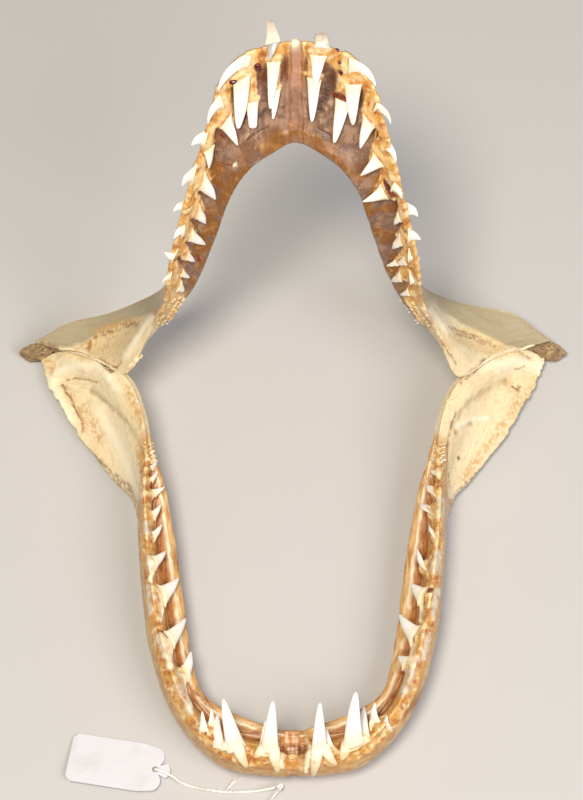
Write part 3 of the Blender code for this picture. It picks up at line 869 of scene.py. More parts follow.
tooth_rows = {}
for word in ("left", "right"):
    for row, seen, proud in TOOTH_ROWS:
        jaw = f"{row[:5]}_{word}"
        if seen:
            places = [tooth_place(halves[jaw], tooth, proud) for tooth in seen[word]]
        else:
            places = tiny_teeth(halves[jaw], *TINY_ROWS[jaw])
        tooth_rows[f"{row}_{word}"] = places

# ------------------------------------------------------------------------------- jaw halves
# Calcified cartilage with the gum dried on it. The gum swells round the foot of each tooth, runs down
# each file of teeth and sinks in between the files. The wings are bare cartilage.

# On the scale round the bar: how far the gum reaches over the bed, and where it starts outside.
GUM_BAND = {"upper": 0.17, "lower": 0.36}
GUM_LINE = {"upper": 3.88, "lower": 3.8}
# The edge of the lower wings towards the teeth, as seen.
WING_LINES = {
    "lower_left": ((145, 436), (143, 455), (141, 470), (139, 490), (137, 514)),
    "lower_right": ((453, 425), (449, 440), (447, 460), (447, 480), (449, 500)),
}

# How wide the swell down the file of a tooth is, the collar of gum round its foot and the pit under
# its point: in millimetres at least, and for each millimetre of half its breadth.
REACHES = {"file": (0.35, 0.62), "collar": (0.5, 0.2), "pit": (0.7, 0.4)}
LEAST_HALF, FULL_HALF = 0.5, 2.0
COLLAR_SETBACK, COLLAR_SHARE, PIT_START = 0.6, 0.9, 0.3
# How far each form stands out (minus: sinks in), in millimetres.
DEPTHS = {
    "lumps": 0.25, "grain": 0.05, "files": 0.8, "collars": 0.5, "pits": -0.5, "rolled rim": 0.4,
    "gum folds": 0.4, "gum strands": 0.08, "gum veins": 0.3,
    "pockets": -0.9, "bed strands": 0.12, "bed streaks": 0.1, "bed veins": 0.08,
    "trough": -2.2, "rim streaks": 0.4, "strings": 0.5, "vein": 0.5,
    "wing folds": 0.12, "wing streaks": 0.1, "rough": 0.15,
}
WING_SMOOTHNESS = 0.65
RELIEF_SOFTENING = 14
# Noise on the surface: the size of its lumps in millimetres, and its seed.
NOISES = {
    "lumps": (7.0, 1), "grain": (1.3, 2), "folds": (3.2, 4), "veins": (3.6, 7), "blobs": (6.5, 12),
    "stray across": (4.0, 8), "stray down": (4.0, 9), "wobble": (2.5, 10),
}
# Streaks: their length along the bar and breadth round it in millimetres, and their seed.
STREAKS = {
    "drawn out": (14.0, 0.9, 3), "down": (1.1, 9.0, 6), "rim": (16.0, 1.5, 13), "strings": (14.0, 0.5, 14),
}
# Where forms and marks begin and are whole, on the stations along the bar...
TEETH_END, LAST_CROWNS, WING_START, LOWER_WING_START = (6.1, 6.7), (5.2, 5.7), (6.3, 6.7), (5.0, 5.3)
AMBER_START, TROUGH_START, CHIN_END = (1.6, 3.0), (0.08, 0.35), (0.24, 0.02)
# ... and on the scale round it, and the middle and reach of the narrow ones there.
BED_END, COLLAR_END, LAST_GUM_END, GUM_EDGE, GUM_LINE_EDGE = (
    (1.05, 1.2), (0.93, 1.05), (0.86, 0.98), (-0.04, 0.05), (-0.04, 0.04),
)
RIM_START, RIM_END, INNER_START, INNER_END = (0.78, 0.85), (1.28, 1.4), (1.2, 1.4), (2.3, 2.45)
OUTER_START, WING_OUTER_START, WING_OUTER_END = (2.45, 2.9), (2.4, 2.6), (3.97, 3.9)
WING_MARGIN_START, WING_MARGIN_END = (1.8, 2.0), (2.6, 2.4)
ROLLED_RIM, POCKETS, TROUGH, CHIN_TROUGH = (1.0, 0.12), (0.3, 0.09), (0.62, 0.13), (0.36, 0.12)
VEIN, AMBER_LINE = (0.8, 0.03), (1.24, 0.07)
# How strong a form or a noise is where what comes of it begins and is whole.
STRENGTHS = {
    "file gum": (0.42, 0.62), "collar gum": (0.4, 0.7), "between files": (0.5, 0.1), "file floor": (0.2, 0.6),
    "bed amber": (-0.05, 0.2), "rim amber": (-0.35, 0.1), "lower pocket": (0.35, 0.8),
    "broken up": (-0.6, 0.1), "pale strings": (0.15, 0.4), "blood": (0.2, 0.55), "crease": (0.08, 0.5),
    "ridge": (0.04, 0.35), "collar ridge": (0.5, 0.9),
}
# In pixels: how soft the line of a lower wing is, and how it fades at its lower end.
WING_LINE_SOFTNESS, WING_LINE_FADE = 0.7, 3
# How steeply a surface turns from the camera before it counts as the edge of an arm.
STEEP = {"upper": (0.5, 0.1), "lower": (0.75, 0.35)}
# The tears of a wing's edge: how deep and long they are, with their seeds, and where they are cut.
TEARS = ((0.9, 3.1, 21), (0.7, 1.2, 22))
TEAR_SHIFT, TEAR_MOST, TEAR_REACH = -0.25, 0.4, 0.4
TEAR_SCALE = {"upper": 0.4, "lower": 1.5}

MARK_STRAY, MARK_WOBBLE = 1.6, 0.5
FACING, FAR = (0.0, 0.3), 1e3
MARK_KINDS = ("brown", "grey", "amber", "tan", "pale", "rough", "worn", "ashen", "dark", "blood")
# Marks that the drying, the knife and old age left, as seen: the mark, its half width in pixels,
# how far it sinks in (minus: stands out) in millimetres, and its route. A closed route is filled.
MARKS = (
    # the left wing of the upper jaw: its thin grey edge, partly painted shade where it turns from the light,
    # the rough hollow of the muscle, the seam
    ("grey", 2.0, 0.3, (
        (163, 291), (134, 301), (103, 311), (76, 316), (57, 325), (42, 338), (56, 345), (84, 340), (99, 331),
        (118, 322), (138, 316), (162, 303), (163, 291),
    )),
    ("grey", 4.0, 0.0, ((36, 344), (46, 347), (56, 350))),
    ("brown", 3.0, -0.3, ((42, 343), (49, 345), (55, 347))),
    ("tan", 1.2, 0.0, ((52, 325), (62, 318), (80, 315), (103, 311))),
    ("tan", 2.4, -0.5, ((86, 346), (92, 338), (99, 331), (112, 325), (124, 321), (138, 319))),
    ("rough", 2.0, 0.6, (
        (87, 346), (99, 334), (118, 326), (138, 321), (134, 332), (124, 345), (119, 358), (112, 369),
        (104, 363), (96, 356), (87, 346),
    )),
    ("brown", 1.6, 0.3, ((88, 348), (91, 340), (98, 334), (107, 332), (118, 327), (128, 323), (137, 324))),
    # painted shade at the bottom of the rough hollow
    ("brown", 2.0, 0.4, ((100, 360), (106, 365), (113, 369))),
    ("pale", 3.5, -0.4, ((108, 374), (112, 380), (116, 388))),
    ("pale", 2.5, -0.5, ((152, 318), (145, 326), (135, 340), (126, 356))),
    ("brown", 1.1, 0.5, ((55, 350), (70, 350), (84, 352), (93, 357), (103, 364), (112, 372), (120, 362))),
    # the left wing of the lower jaw
    ("tan", 5.0, 0.0, ((47, 362), (51, 370))),
    # the pale top of the lower wing: its own cream with a painted highlight
    ("pale", 4.0, -0.7, ((50, 380), (58, 371), (75, 365), (95, 364), (108, 374))),
    ("brown", 0.6, 0.6, ((61, 385), (66, 392), (71, 401), (76, 411), (80, 420), (82, 431))),
    ("tan", 2.6, 0.2, ((64, 386), (70, 395), (76, 406), (81, 418), (84, 430))),
    ("pale", 3.0, -0.5, ((53, 385), (60, 400), (70, 420))),
    ("brown", 0.6, 0.3, ((66, 380), (76, 378), (88, 380), (97, 383))),
    # painted shade along the hollow inside the ridge of the wing
    ("ashen", 2.4, 0.8, ((91, 391), (103, 401), (115, 411), (126, 423), (134, 435), (141, 452))),
    ("brown", 0.9, 0.0, (
        (57, 402), (66, 420), (74, 437), (84, 450), (96, 463), (110, 476), (125, 492), (137, 510),
    )),
    # painted highlights on the lit ridges of the wing
    ("pale", 4.0, 0.0, ((128, 455), (132, 475), (136, 495))),
    ("pale", 5.5, -0.6, ((100, 412), (110, 428), (119, 444), (127, 462), (133, 480))),
    ("tan", 3.4, 0.1, ((84, 406), (91, 420), (99, 438))),
    ("brown", 2.4, 0.4, ((115, 477), (120, 482), (126, 486), (131, 494), (136, 503))),
    ("brown", 1.4, 0.2, ((76, 438), (88, 450), (99, 461), (113, 475))),
    ("tan", 4.0, 0.0, ((146, 435), (140, 420), (133, 404), (128, 390))),
    # the right wing of the upper jaw
    # its thin grey edge, partly painted shade where it turns from the light
    ("grey", 2.0, 0.3, (
        (421, 285), (449, 296), (486, 309), (526, 319), (543, 331), (556, 345), (549, 353), (526, 347),
        (505, 342), (486, 333), (467, 323), (443, 309), (424, 299), (421, 285),
    )),
    ("rough", 2.0, 0.5, (
        (450, 327), (470, 331), (492, 341), (504, 347), (490, 352), (470, 345), (452, 336), (450, 327),
    )),
    # painted light where the wing turns away from the lamps
    ("pale", 5.0, -0.2, ((431, 308), (438, 318), (447, 328))),
    ("tan", 3.0, 0.1, ((436, 332), (446, 348))),
    ("brown", 0.9, 0.3, ((450, 326), (464, 331), (480, 338), (496, 345))),
    ("brown", 0.7, 0.3, ((458, 333), (472, 338), (486, 344))),
    ("brown", 0.7, 0.4, ((428, 318), (436, 332), (446, 347), (457, 364))),
    ("brown", 1.3, 0.6, ((487, 360), (480, 366), (470, 375), (462, 382))),
    ("brown", 2.0, 0.9, ((484, 361), (488, 358))),
    ("tan", 1.6, 0.4, ((521, 353), (530, 359))),
    ("brown", 0.7, 0.4, ((514, 369), (524, 367))),
    # the right wing of the lower jaw
    ("pale", 5.0, -0.7, ((486, 366), (505, 362), (525, 362), (543, 366))),
    # painted shade along the valley under the pale top of the wing
    ("ashen", 3.0, 0.9, ((508, 381), (496, 386), (484, 394), (473, 401), (461, 413), (455, 426))),
    ("brown", 1.0, 0.0, ((536, 392), (520, 420), (505, 440), (487, 462), (470, 480), (455, 494))),
    ("brown", 0.9, 0.9, ((514, 386), (518, 389), (522, 387))),
    ("tan", 3.0, 0.3, ((508, 383), (517, 388), (520, 396), (515, 408))),
    # painted shade under the crescent fold, and a painted highlight along its top
    ("ashen", 2.0, 0.8, ((457, 432), (463, 426), (470, 424))),
    ("pale", 2.2, -0.7, ((459, 427), (468, 421), (478, 418), (487, 418))),
    ("dark", 0.8, 0.5, ((459, 457), (460, 459))),
    ("tan", 3.4, 0.2, ((528, 392), (514, 409), (501, 430), (490, 444), (479, 458), (470, 469), (464, 479))),
    ("brown", 0.8, 0.4, ((457, 412), (450, 432), (447, 452), (448, 470), (450, 486))),
    # the bed of the upper jaw
    ("amber", 4.0, -0.3, ((262, 147), (272, 138), (283, 133))),
    ("amber", 3.0, -0.2, ((236, 178), (228, 190), (218, 206))),
    ("amber", 3.5, -0.2, ((305, 133), (318, 141), (332, 152), (345, 168))),
    ("amber", 2.6, -0.1, ((213, 210), (208, 226), (203, 240))),
    ("dark", 3.0, 0.6, ((331, 78), (328, 88), (324, 98), (320, 108))),
    ("dark", 1.8, 0.5, ((266, 110), (260, 118))),
    ("dark", 1.6, 0.5, ((244, 112), (242, 122))),
    ("dark", 0.7, 0.4, ((247, 140), (254, 134), (261, 131), (268, 128))),
    ("dark", 0.7, 0.4, ((318, 128), (326, 133), (334, 138))),
    ("blood", 0.7, -0.4, ((217, 162), (225, 164), (231, 165))),
    ("pale", 0.9, -0.6, ((234, 166), (236, 165))),
    # worn crowns grown over along the arms of the lower jaw
    ("worn", 2.0, -0.5, ((149, 588), (150, 600), (151, 612))),
    ("worn", 1.8, -0.5, ((158, 634), (161, 645), (164, 655))),
    ("worn", 2.2, -0.5, ((177, 675), (180, 686), (186, 700), (190, 712))),
    ("worn", 1.6, -0.3, ((146, 522), (147, 532))),
    ("worn", 1.5, -0.3, ((148, 557), (149, 570))),
    ("worn", 2.2, -0.5, ((437, 590), (434, 606), (432, 619))),
    ("worn", 2.0, -0.5, ((428, 634), (425, 648), (423, 658))),
    ("worn", 2.8, -0.5, ((412, 672), (406, 682), (403, 693))),
    ("worn", 2.6, -0.4, ((438, 554), (436, 571))),
    ("worn", 2.0, -0.3, ((449, 523), (448, 538))),
    ("worn", 2.0, -0.3, ((442, 499), (443, 515))),
    # the roots of the teeth behind the front ones
    ("pale", 1.7, -0.7, ((158, 596), (161, 606), (161, 618))),
    ("pale", 2.0, -0.8, ((166, 640), (169, 652), (170, 667))),
    ("pale", 2.0, -0.8, ((183, 677), (187, 690), (190, 706))),
    ("pale", 1.5, -0.6, ((151, 562), (152, 571), (151, 581))),
    ("pale", 1.7, -0.7, ((424, 597), (422, 608), (421, 621))),
    ("pale", 2.0, -0.8, ((416, 637), (413, 650), (413, 666))),
    ("pale", 1.5, -0.9, ((276, 746), (279, 755), (281, 765))),
    ("pale", 1.5, -0.9, ((310, 746), (308, 757), (306, 770))),
    # the rim and the front of the lower jaw
    ("brown", 1.6, 0.3, ((176, 520), (178, 545), (178, 570))),
    ("brown", 2.0, 0.4, ((196, 690), (203, 700), (212, 706))),
    ("amber", 3.0, 0.0, ((457, 590), (453, 620), (445, 650), (433, 680), (416, 703), (401, 715))),
    # the yellowed beds of the last crowns
    ("ashen", 4.5, 0.0, ((178, 292), (168, 308), (158, 325))),
    ("ashen", 4.5, 0.0, ((411, 296), (417, 308), (424, 322))),
    # dried blood
    ("blood", 2.7, 0.3, ((335, 95), (341, 96), (345, 99))),
    ("blood", 0.9, 0.2, ((378, 132), (378, 136))),
    ("blood", 1.6, 0.2, ((386, 180), (389, 187), (393, 195))),
    ("blood", 1.1, -0.4, ((397, 208), (398, 211))),
    ("blood", 1.1, -0.3, ((222, 134), (223, 138))),
    ("blood", 1.2, -0.3, ((198, 256), (199, 260))),
    ("blood", 1.2, -0.3, ((165, 284), (166, 288))),
    ("blood", 0.6, 0.2, ((160, 631), (163, 634), (165, 637))),
    ("blood", 0.4, 0.2, ((157, 588), (160, 594), (162, 599))),
    ("blood", 0.8, 0.2, ((432, 590), (431, 593))),
    ("blood", 0.45, 0.2, ((427, 598), (426, 605))),
    ("blood", 0.4, 0.2, ((418, 638), (417, 643))),
    ("blood", 0.6, 0.2, ((204, 730), (207, 733))),
    ("blood", 0.6, 0.2, ((374, 724), (373, 729))),
    ("blood", 0.5, 0.2, ((235, 733), (238, 739))),
    ("blood", 0.5, 0.2, ((347, 733), (345, 739))),
)


def ramp(values, low, high):
    """0 below low and 1 above high, smooth between them. low may be the greater one."""
    share = np.clip((values - low) / (high - low), 0.0, 1.0)
    return share * share * (3 - 2 * share)


def peak(values, middle, reach):
    """1 at the middle, and smoothly less the further from it."""
    return np.exp(-0.5 * ((values - middle) / reach) ** 2)


def near_line(points, start, end):
    """The distance of each point from the line between two places."""
    start, line = np.array(start, float), np.array(end, float) - np.array(start, float)
    share = np.clip((points - start) @ line / max(line @ line, NOTHING), 0.0, 1.0)
    return np.linalg.norm(points - start - share[..., None] * line, axis=-1)


def seen_from_camera(points):
    """The pixel at which the camera sees each point."""
    depth = CAMERA.z - points[..., 2]
    across = PHOTO_WIDTH / 2 + (points[..., 0] - CAMERA.x) / depth * FOCAL_PIXELS
    down = PHOTO_HEIGHT / 2 - (points[..., 1] - CAMERA.y) / depth * FOCAL_PIXELS
    return np.stack([across, down], axis=-1)


def within(seen, route):
    """Which pixels lie within a closed route."""
    crossings = np.zeros(seen.shape[:-1], int)
    for (x, y), (other_x, other_y) in zip(route, route[1:]):
        if y != other_y:
            meets = x + (seen[..., 1] - y) * (other_x - x) / (other_y - y)
            level = (seen[..., 1] > min(y, other_y)) & (seen[..., 1] <= max(y, other_y))
            crossings += level * (seen[..., 0] < meets)
    return crossings % 2 == 1


def noise_on(points, name):
    """The noise of this name in NOISES on some points."""
    return roughness(points, *NOISES[name])


def drawn_marks(points, normals):
    """The marks of MARKS on these points where they face the camera, and how far they sink in."""
    strays = [noise_on(points, "stray across"), noise_on(points, "stray down")]
    seen = seen_from_camera(points) + MARK_STRAY * np.stack(strays, axis=-1)
    facing = ramp(normals[..., 2], *FACING)
    wobble = 1 + MARK_WOBBLE * noise_on(points, "wobble")
    found = {kind: np.zeros(facing.shape) for kind in MARK_KINDS}
    sunk = np.zeros(facing.shape)
    for kind, reach, depth, route in MARKS:
        away = np.full(facing.shape, FAR)
        for start, end in zip(route, route[1:]):
            away = np.minimum(away, near_line(seen, start, end))
        if route[0] == route[-1]:
            away[within(seen, route)] = 0.0
        strength = peak(away, 0.0, reach * wobble) * facing
        found[kind] = np.maximum(found[kind], strength)
        sunk += depth * strength
    return found, sunk


def streaks(form, name):
    """Noise from -1 to 1 on a half, in the streaks of this name in STREAKS."""
    length, breadth, seed = STREAKS[name]
    lie = form["lie"]
    flat = np.stack([lie[..., 0] / length, lie[..., 1] / breadth, np.zeros(lie.shape[:2])], axis=-1)
    return roughness(flat, 1.0, seed)


def wing_mark(name, form):
    """Where a half is bare wing: past the teeth, and on the outer side of the lower jaw before that."""
    station, round_ = form["station"], form["round"]
    wing = ramp(station, *WING_START)
    if name in WING_LINES:
        seen = seen_from_camera(form["points"])
        line = np.array(WING_LINES[name])
        beyond = (seen[..., 0] - np.interp(seen[..., 1], line[:, 1], line[:, 0])) * form["side"]
        above_end = ramp(seen[..., 1], line[-1, 1], line[-1, 1] - WING_LINE_FADE)
        outer = ramp(round_, *WING_OUTER_START) * ramp(round_, *WING_OUTER_END)
        margin = ramp(round_, *WING_MARGIN_START) * ramp(round_, *WING_MARGIN_END)
        outer *= ramp(beyond, -WING_LINE_SOFTNESS, WING_LINE_SOFTNESS) * above_end
        wing = np.maximum(wing, outer)
        wing = np.maximum(wing, ramp(station, *LOWER_WING_START) * margin)
    return wing


def around_teeth(points, teeth):
    """How near each point is to the files of the teeth, their collars of gum and the pits under them."""
    near = {shape: np.zeros(points.shape[:-1]) for shape in REACHES}
    for tooth in teeth:
        foot, point, half = (np.array(tooth[part]) for part in ("foot", "point", "half"))
        width = max(np.linalg.norm(half), LEAST_HALF)
        size = min(1.0, width / FULL_HALF)
        nearest = np.argmin(np.sum((points - foot) ** 2, axis=-1)) // points.shape[1]
        behind = foot - unit(point - foot) * COLLAR_SETBACK * width
        lines = {
            "file": (points[nearest, 0], foot),
            "collar": (behind - half * COLLAR_SHARE, behind + half * COLLAR_SHARE),
            "pit": (foot + (point - foot) * PIT_START, point),
        }
        for shape, (start, end) in lines.items():
            least, more = REACHES[shape]
            swell = peak(near_line(points, start, end), 0.0, least + more * width)
            near[shape] = np.maximum(near[shape], size * swell)
    return near.values()


def jaw_relief(name, form, teeth):
    """How far each point of a half moves out, in millimetres, and the marks for its material."""
    points, station, round_, jaw = form["points"], form["station"], form["round"], name[:5]
    lumps, grain, folds = (noise_on(points, noise_name) for noise_name in ("lumps", "grain", "folds"))
    veins = 1 - 2 * np.abs(noise_on(points, "veins"))
    drawn_out, down = streaks(form, "drawn out"), streaks(form, "down")
    files, collars, pits = around_teeth(points, teeth)
    bed = np.clip(round_, 0.0, 1.0)
    on_teeth = 1 - ramp(station, *TEETH_END)
    bedded = (1 - ramp(round_, *BED_END)) * on_teeth
    collars = collars * (1 - ramp(bed, *COLLAR_END))

    gum = 1 - ramp(bed - (GUM_BAND[jaw] + 0.05 * folds + 0.02 * down), *GUM_EDGE)
    gum = np.maximum(gum, ramp(files + 0.15 * grain, *STRENGTHS["file gum"]))
    gum = np.maximum(gum, ramp(station, *LAST_CROWNS) * (1 - ramp(bed, *LAST_GUM_END)))
    gum = bedded * np.maximum(gum, ramp(collars, *STRENGTHS["collar gum"]))
    gum = np.maximum(gum, on_teeth * ramp(round_ + 0.04 * folds - GUM_LINE[jaw], *GUM_LINE_EDGE))
    open_bed = bedded * (1 - gum)
    rolled = peak(round_, *ROLLED_RIM) * on_teeth
    shapes = {
        "lumps": lumps, "grain": grain, "rolled rim": rolled,
        "files": bedded * files, "collars": bedded * collars, "pits": open_bed * pits,
        "gum folds": gum * folds, "gum strands": gum * down, "gum veins": gum * veins,
    }
    drawn, sunk = drawn_marks(points, form["normals"])
    if jaw == "upper":
        # the pockets between the files: their own dark brown with painted shade in the hollow
        pocket = ramp(files, *STRENGTHS["between files"]) * peak(bed, *POCKETS) * open_bed
        membrane, rim = open_bed, rolled
        blobs = noise_on(points, "blobs") + 0.35 * folds
        amber = membrane * ramp(blobs, *STRENGTHS["bed amber"]) * ramp(station, *AMBER_START)
        amber = np.maximum(amber, rim * ramp(blobs, *STRENGTHS["rim amber"]))
        shapes |= {
            "pockets": pocket, "bed strands": membrane * down, "bed streaks": membrane * drawn_out,
            "bed veins": membrane * veins,
        }
    else:
        trough = peak(bed, *TROUGH) * bedded * ramp(station, *TROUGH_START)
        trough *= 1 - 0.85 * ramp(files, *STRENGTHS["file floor"])
        trough = np.maximum(trough, peak(bed, *CHIN_TROUGH) * ramp(station, *CHIN_END))
        rim = ramp(round_ + 0.02 * folds, *RIM_START) * (1 - ramp(round_, *RIM_END)) * on_teeth
        # the deepest part of the trough: its own brown with painted shade
        pocket = ramp(trough, *STRENGTHS["lower pocket"]) * (1 - gum)
        membrane = open_bed * (1 - rim)
        strings = trough * streaks(form, "strings")
        broken_up = on_teeth * ramp(lumps, *STRENGTHS["broken up"])
        vein = peak(round_ + 0.03 * folds, *VEIN) * broken_up
        amber = peak(round_ + 0.03 * folds, *AMBER_LINE) * broken_up
        rim_streaks = rim * streaks(form, "rim")
        shapes |= {"trough": trough, "rim streaks": rim_streaks, "strings": strings, "vein": vein}
        # the pale vein along the rim, and painted highlights on the strings in the trough
        pale = np.maximum(0.8 * vein, 0.5 * ramp(strings, *STRENGTHS["pale strings"]))
        drawn["pale"] = np.maximum(drawn["pale"], pale)
    drawn["amber"] = np.maximum(drawn["amber"], amber)
    drawn["blood"] = ramp(drawn["blood"] + 0.1 * grain, *STRENGTHS["blood"])

    wing = wing_mark(name, form)
    relief = (1 - WING_SMOOTHNESS * wing) * sum(DEPTHS[shape] * grid for shape, grid in shapes.items())
    relief += wing * (DEPTHS["wing folds"] * folds + DEPTHS["wing streaks"] * drawn_out)
    relief += DEPTHS["rough"] * drawn["rough"] * veins - sunk
    raised = relief - softened(relief, RELIEF_SOFTENING, along=True)
    outer = ramp(round_, *OUTER_START) * (1 - gum)
    return relief, {
        "gum": gum, "membrane": membrane, "pocket": pocket, "rim": rim, "wing": wing, "outer": outer,
        "inner": ramp(round_, *INNER_START) * (1 - ramp(round_, *INNER_END)) * on_teeth,
        "edge": outer * on_teeth * ramp(form["normals"][..., 2], *STEEP[jaw]),
        # painted shade where the relief sinks below its surroundings
        "crease": ramp(-raised, *STRENGTHS["crease"]),
        # painted highlight on raised relief and on the collars of gum
        "ridge": np.maximum(
            ramp(raised, *STRENGTHS["ridge"]), 0.8 * ramp(collars, *STRENGTHS["collar ridge"]),
        ),
        **drawn,
    }


def torn_edge(name, form, wing):
    """How the thin edge of a wing is torn: each point's move across the bar, in millimetres."""
    along = form["lie"][:, :1, 0]
    place = np.stack([along, np.zeros_like(along), np.zeros_like(along)], axis=-1)
    tears = TEAR_SHIFT + sum(depth * roughness(place, length, seed) for depth, length, seed in TEARS)
    margin = np.argmin(np.abs(form["round"][0] - MARGIN_PLACE))
    outwards = unit(form["points"][:, margin] - form["points"][:, 0])
    amount = np.minimum(TEAR_SCALE[name[:5]] * tears, TEAR_MOST)
    amount = amount * peak(form["round"], MARGIN_PLACE, TEAR_REACH) * wing
    return outwards[:, None] * amount[..., None]


def tissue_material(name, membrane_colours, rim_colours, pocket_and_shade_colour, band_colour, amber_colour):
    """Dried jaw: waxy cream cartilage, amber gum and, on the bed, a thin brown membrane, with painted shade
    in creases and pockets and painted highlights on ridges.
    """
    grains = {
        "broad": (18.0, 18.0, 18.0), "middling": (5.0, 5.0, 5.0), "fine": (1.8, 1.8, 1.8),
        "tiny": (0.7, 0.7, 0.7), "blots": (3.8, 3.8, 3.8),
    }
    lie_grains = {
        "streaks": (12.0, 1.1, 1.0), "long streaks": (25.0, 2.2, 1.0), "down": (1.5, 5.0, 1.0),
        "wrinkles": (3.0, 1.2, 1.0),
    }
    coats = (
        ("#cda369", 0.8, None, ("broad", 0.4, 0.7)),
        # the smooth outer side of the arms
        ("#bd8238", 1.0, "outer", None),
        ("#9d6222", 0.8, "outer", ("broad", 0.4, 0.68)),
        ("#d9ac66", 0.7, "outer", ("middling", 0.5, 0.68)),
        ("#9c6228", 0.35, "outer", ("wrinkles", 0.55, 0.7)),
        ("#cfa468", 0.7, "edge", ("broad", 0.25, 0.6)),
        ("#d9bf8c", 0.6, "edge", ("middling", 0.42, 0.62)),
        # the side towards the throat
        ("#b37a38", 0.9, "inner", None),
        ("#8a5421", 0.8, "inner", ("streaks", 0.48, 0.62)),
        # bare wings
        ("#f2deb2", 1.0, "wing", None),
        ("#e6ca94", 0.75, "wing", ("broad", 0.44, 0.68)),
        ("#d6b074", 0.55, "wing", ("wrinkles", 0.52, 0.7)),
        ("#f8e9c4", 0.6, "wing", ("long streaks", 0.52, 0.68)),
        ("#c2965a", 0.35, "wing", ("fine", 0.6, 0.75)),
        # the rim of the bed and its membrane
        (rim_colours[0], 0.95, "rim", None),
        (rim_colours[1], 0.85, "rim", ("streaks", 0.46, 0.64)),
        (rim_colours[2], 0.6, "rim", ("long streaks", 0.52, 0.68)),
        (membrane_colours[0], 1.0, "membrane", None),
        (membrane_colours[1], 0.9, "membrane", ("middling", 0.44, 0.6)),
        (membrane_colours[2], 0.7, "membrane", ("down", 0.54, 0.7)),
        ("#c4a388", 0.4, "membrane", ("tiny", 0.56, 0.75)),
        (band_colour, 0.9, "band", None),
        (amber_colour, 0.95, "amber", ("tiny", 0.0, 0.42)),
        ("#b8803a", 0.5, "amber", ("blots", 0.52, 0.66)),
        # gum
        ("#d29a4a", 1.0, "gum", None),
        ("#ad6022", 0.85, "gum", ("middling", 0.47, 0.63)),
        ("#e6c684", 0.5, "gum", ("down", 0.5, 0.64)),
        ("#a04a1c", 0.55, "gum", ("fine", 0.58, 0.7)),
        ("#f2dca8", 0.8, "gum", ("blots", 0.52, 0.68)),
        # the pockets: their own brown, darkened as painted shade in the hollows
        (pocket_and_shade_colour, 0.9, "pocket", None),
        ("#c98b45", 0.4, "pocket", ("fine", 0.5, 0.65)),
        ("#6e3a14", 0.6, "pocket", ("blots", 0.5, 0.66)),
        # painted shade in the creases of the relief
        ("#7c4016", 0.7, "crease", None),
        # painted highlight on the raised relief
        ("#f5dfac", 0.6, "ridge", None),
        # marks, with painted shade and painted highlights among them
        # painted shade in the hollows of the lower wings, and the yellowed beds of the last crowns
        ("#cdbb8e", 0.6, "ashen", ("middling", 0.3, 0.6)),
        ("#d2c9b6", 0.9, "worn", ("blots", 0.3, 0.5)),
        # grey on the thin edges of the upper wings: partly their own colour, partly painted shade
        ("#a39778", 0.8, "grey", None),
        ("#8f8263", 0.4, "grey", ("long streaks", 0.5, 0.7)),
        ("#ebcf9b", 0.9, "rough", None),
        ("#c59c64", 0.5, "rough", ("fine", 0.5, 0.64)),
        ("#f2dcaa", 0.6, "rough", ("tiny", 0.5, 0.65)),
        # pale marks: the roots and pale patches, and painted highlights on the wings and in the trough
        ("#fff1d0", 0.85, "pale", None),
        ("#cf9f5c", 0.75, "tan", ("fine", 0.36, 0.6)),
        ("#8d5f38", 0.75, "brown", ("fine", 0.3, 0.58)),
        ("#4a3428", 0.9, "dark", ("tiny", 0.25, 0.55)),
        ("#6e2410", 0.95, "blood", ("tiny", 0.1, 0.45)),
        ("#a04a1c", 0.7, "blood", ("fine", 0.5, 0.62)),
        ("#3c150c", 0.7, "blood", ("tiny", 0.52, 0.62)),
    )
    return layered_material(
        name, "#e6c993", grains, coats, bumps=(("streaks", "tiny"), 0.3, 0.4),
        values={
            "Subsurface Weight": 0.2, "Subsurface Radius": (0.0025, 0.0013, 0.0006), "Subsurface Scale": 1.0,
            "IOR": 1.5,
        },
        lie_grains=lie_grains, gloss=("middling", 0.3, 0.7, 0.22, 0.48),
    )


upper_tissue = tissue_material(
    "dried upper jaw tissue",
    ("#7c5c48", "#9f7c62", "#553b2b"), ("#935e28", "#6b4628", "#8a5a2c"), "#644230", "#bd8c70", "#86520f",
)
lower_tissue = tissue_material(
    "dried lower jaw tissue",
    ("#b98448", "#d0a062", "#94602b"), ("#c99d60", "#a06a36", "#e8cf9c"), "#a05f22", "#bd7f42", "#9a5d1e",
)

for word in ("left", "right"):
    for jaw, tissue in (("upper", upper_tissue), ("lower", lower_tissue)):
        name = f"{jaw}_{word}"
        form = halves[name]
        teeth = []
        for row, members in tooth_rows.items():
            if row.startswith(jaw) and row.endswith(word):
                teeth += members
        relief, marks = jaw_relief(name, form, teeth)
        form["final"] = form["points"] + form["normals"] * relief[..., None]
        form["final"] += torn_edge(name, form, marks["wing"])
        form["tree"], form["marks"] = sight_tree(form["final"]), marks
        half = wrapped(f"{jaw}_half_{word}", form["final"], tissue, GAPE_TO_WORLD, marks, form["lie"])
        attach(half, "root")
        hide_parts(f"{jaw}_jaw_{word}")

# ---------------------------------------------------------------------------------- symphyses
# Where the halves meet in the middle they are joined by fibrous tissue, dried to a ridged band in the
# upper jaw and to a rough hollow with a notched chin in the lower one.

BAND_STEPS, BAND_OVERLAP, ARCH_RISE, ARCH_PLACE = 44, 0.03, 0.9, (1.0, 0.3)
# Ridges and grooves along the upper band: the share of the way across, the reach and the height.
UPPER_RIDGES = {
    "side ridges": ((0.14, 0.07, 1.0), (0.86, 0.08, 1.0)),
    "fine ridges": ((0.64, 0.04, 1.0), (0.32, 0.05, 0.7)),
    "grooves": ((0.24, 0.035, 1.0), (0.76, 0.035, 1.0)),
}
# The size in millimetres of the grain, folds and lumps of both bands, with the seeds of the noise.
BAND_NOISES = ((1.2, 31), (2.6, 32), (4.5, 33))
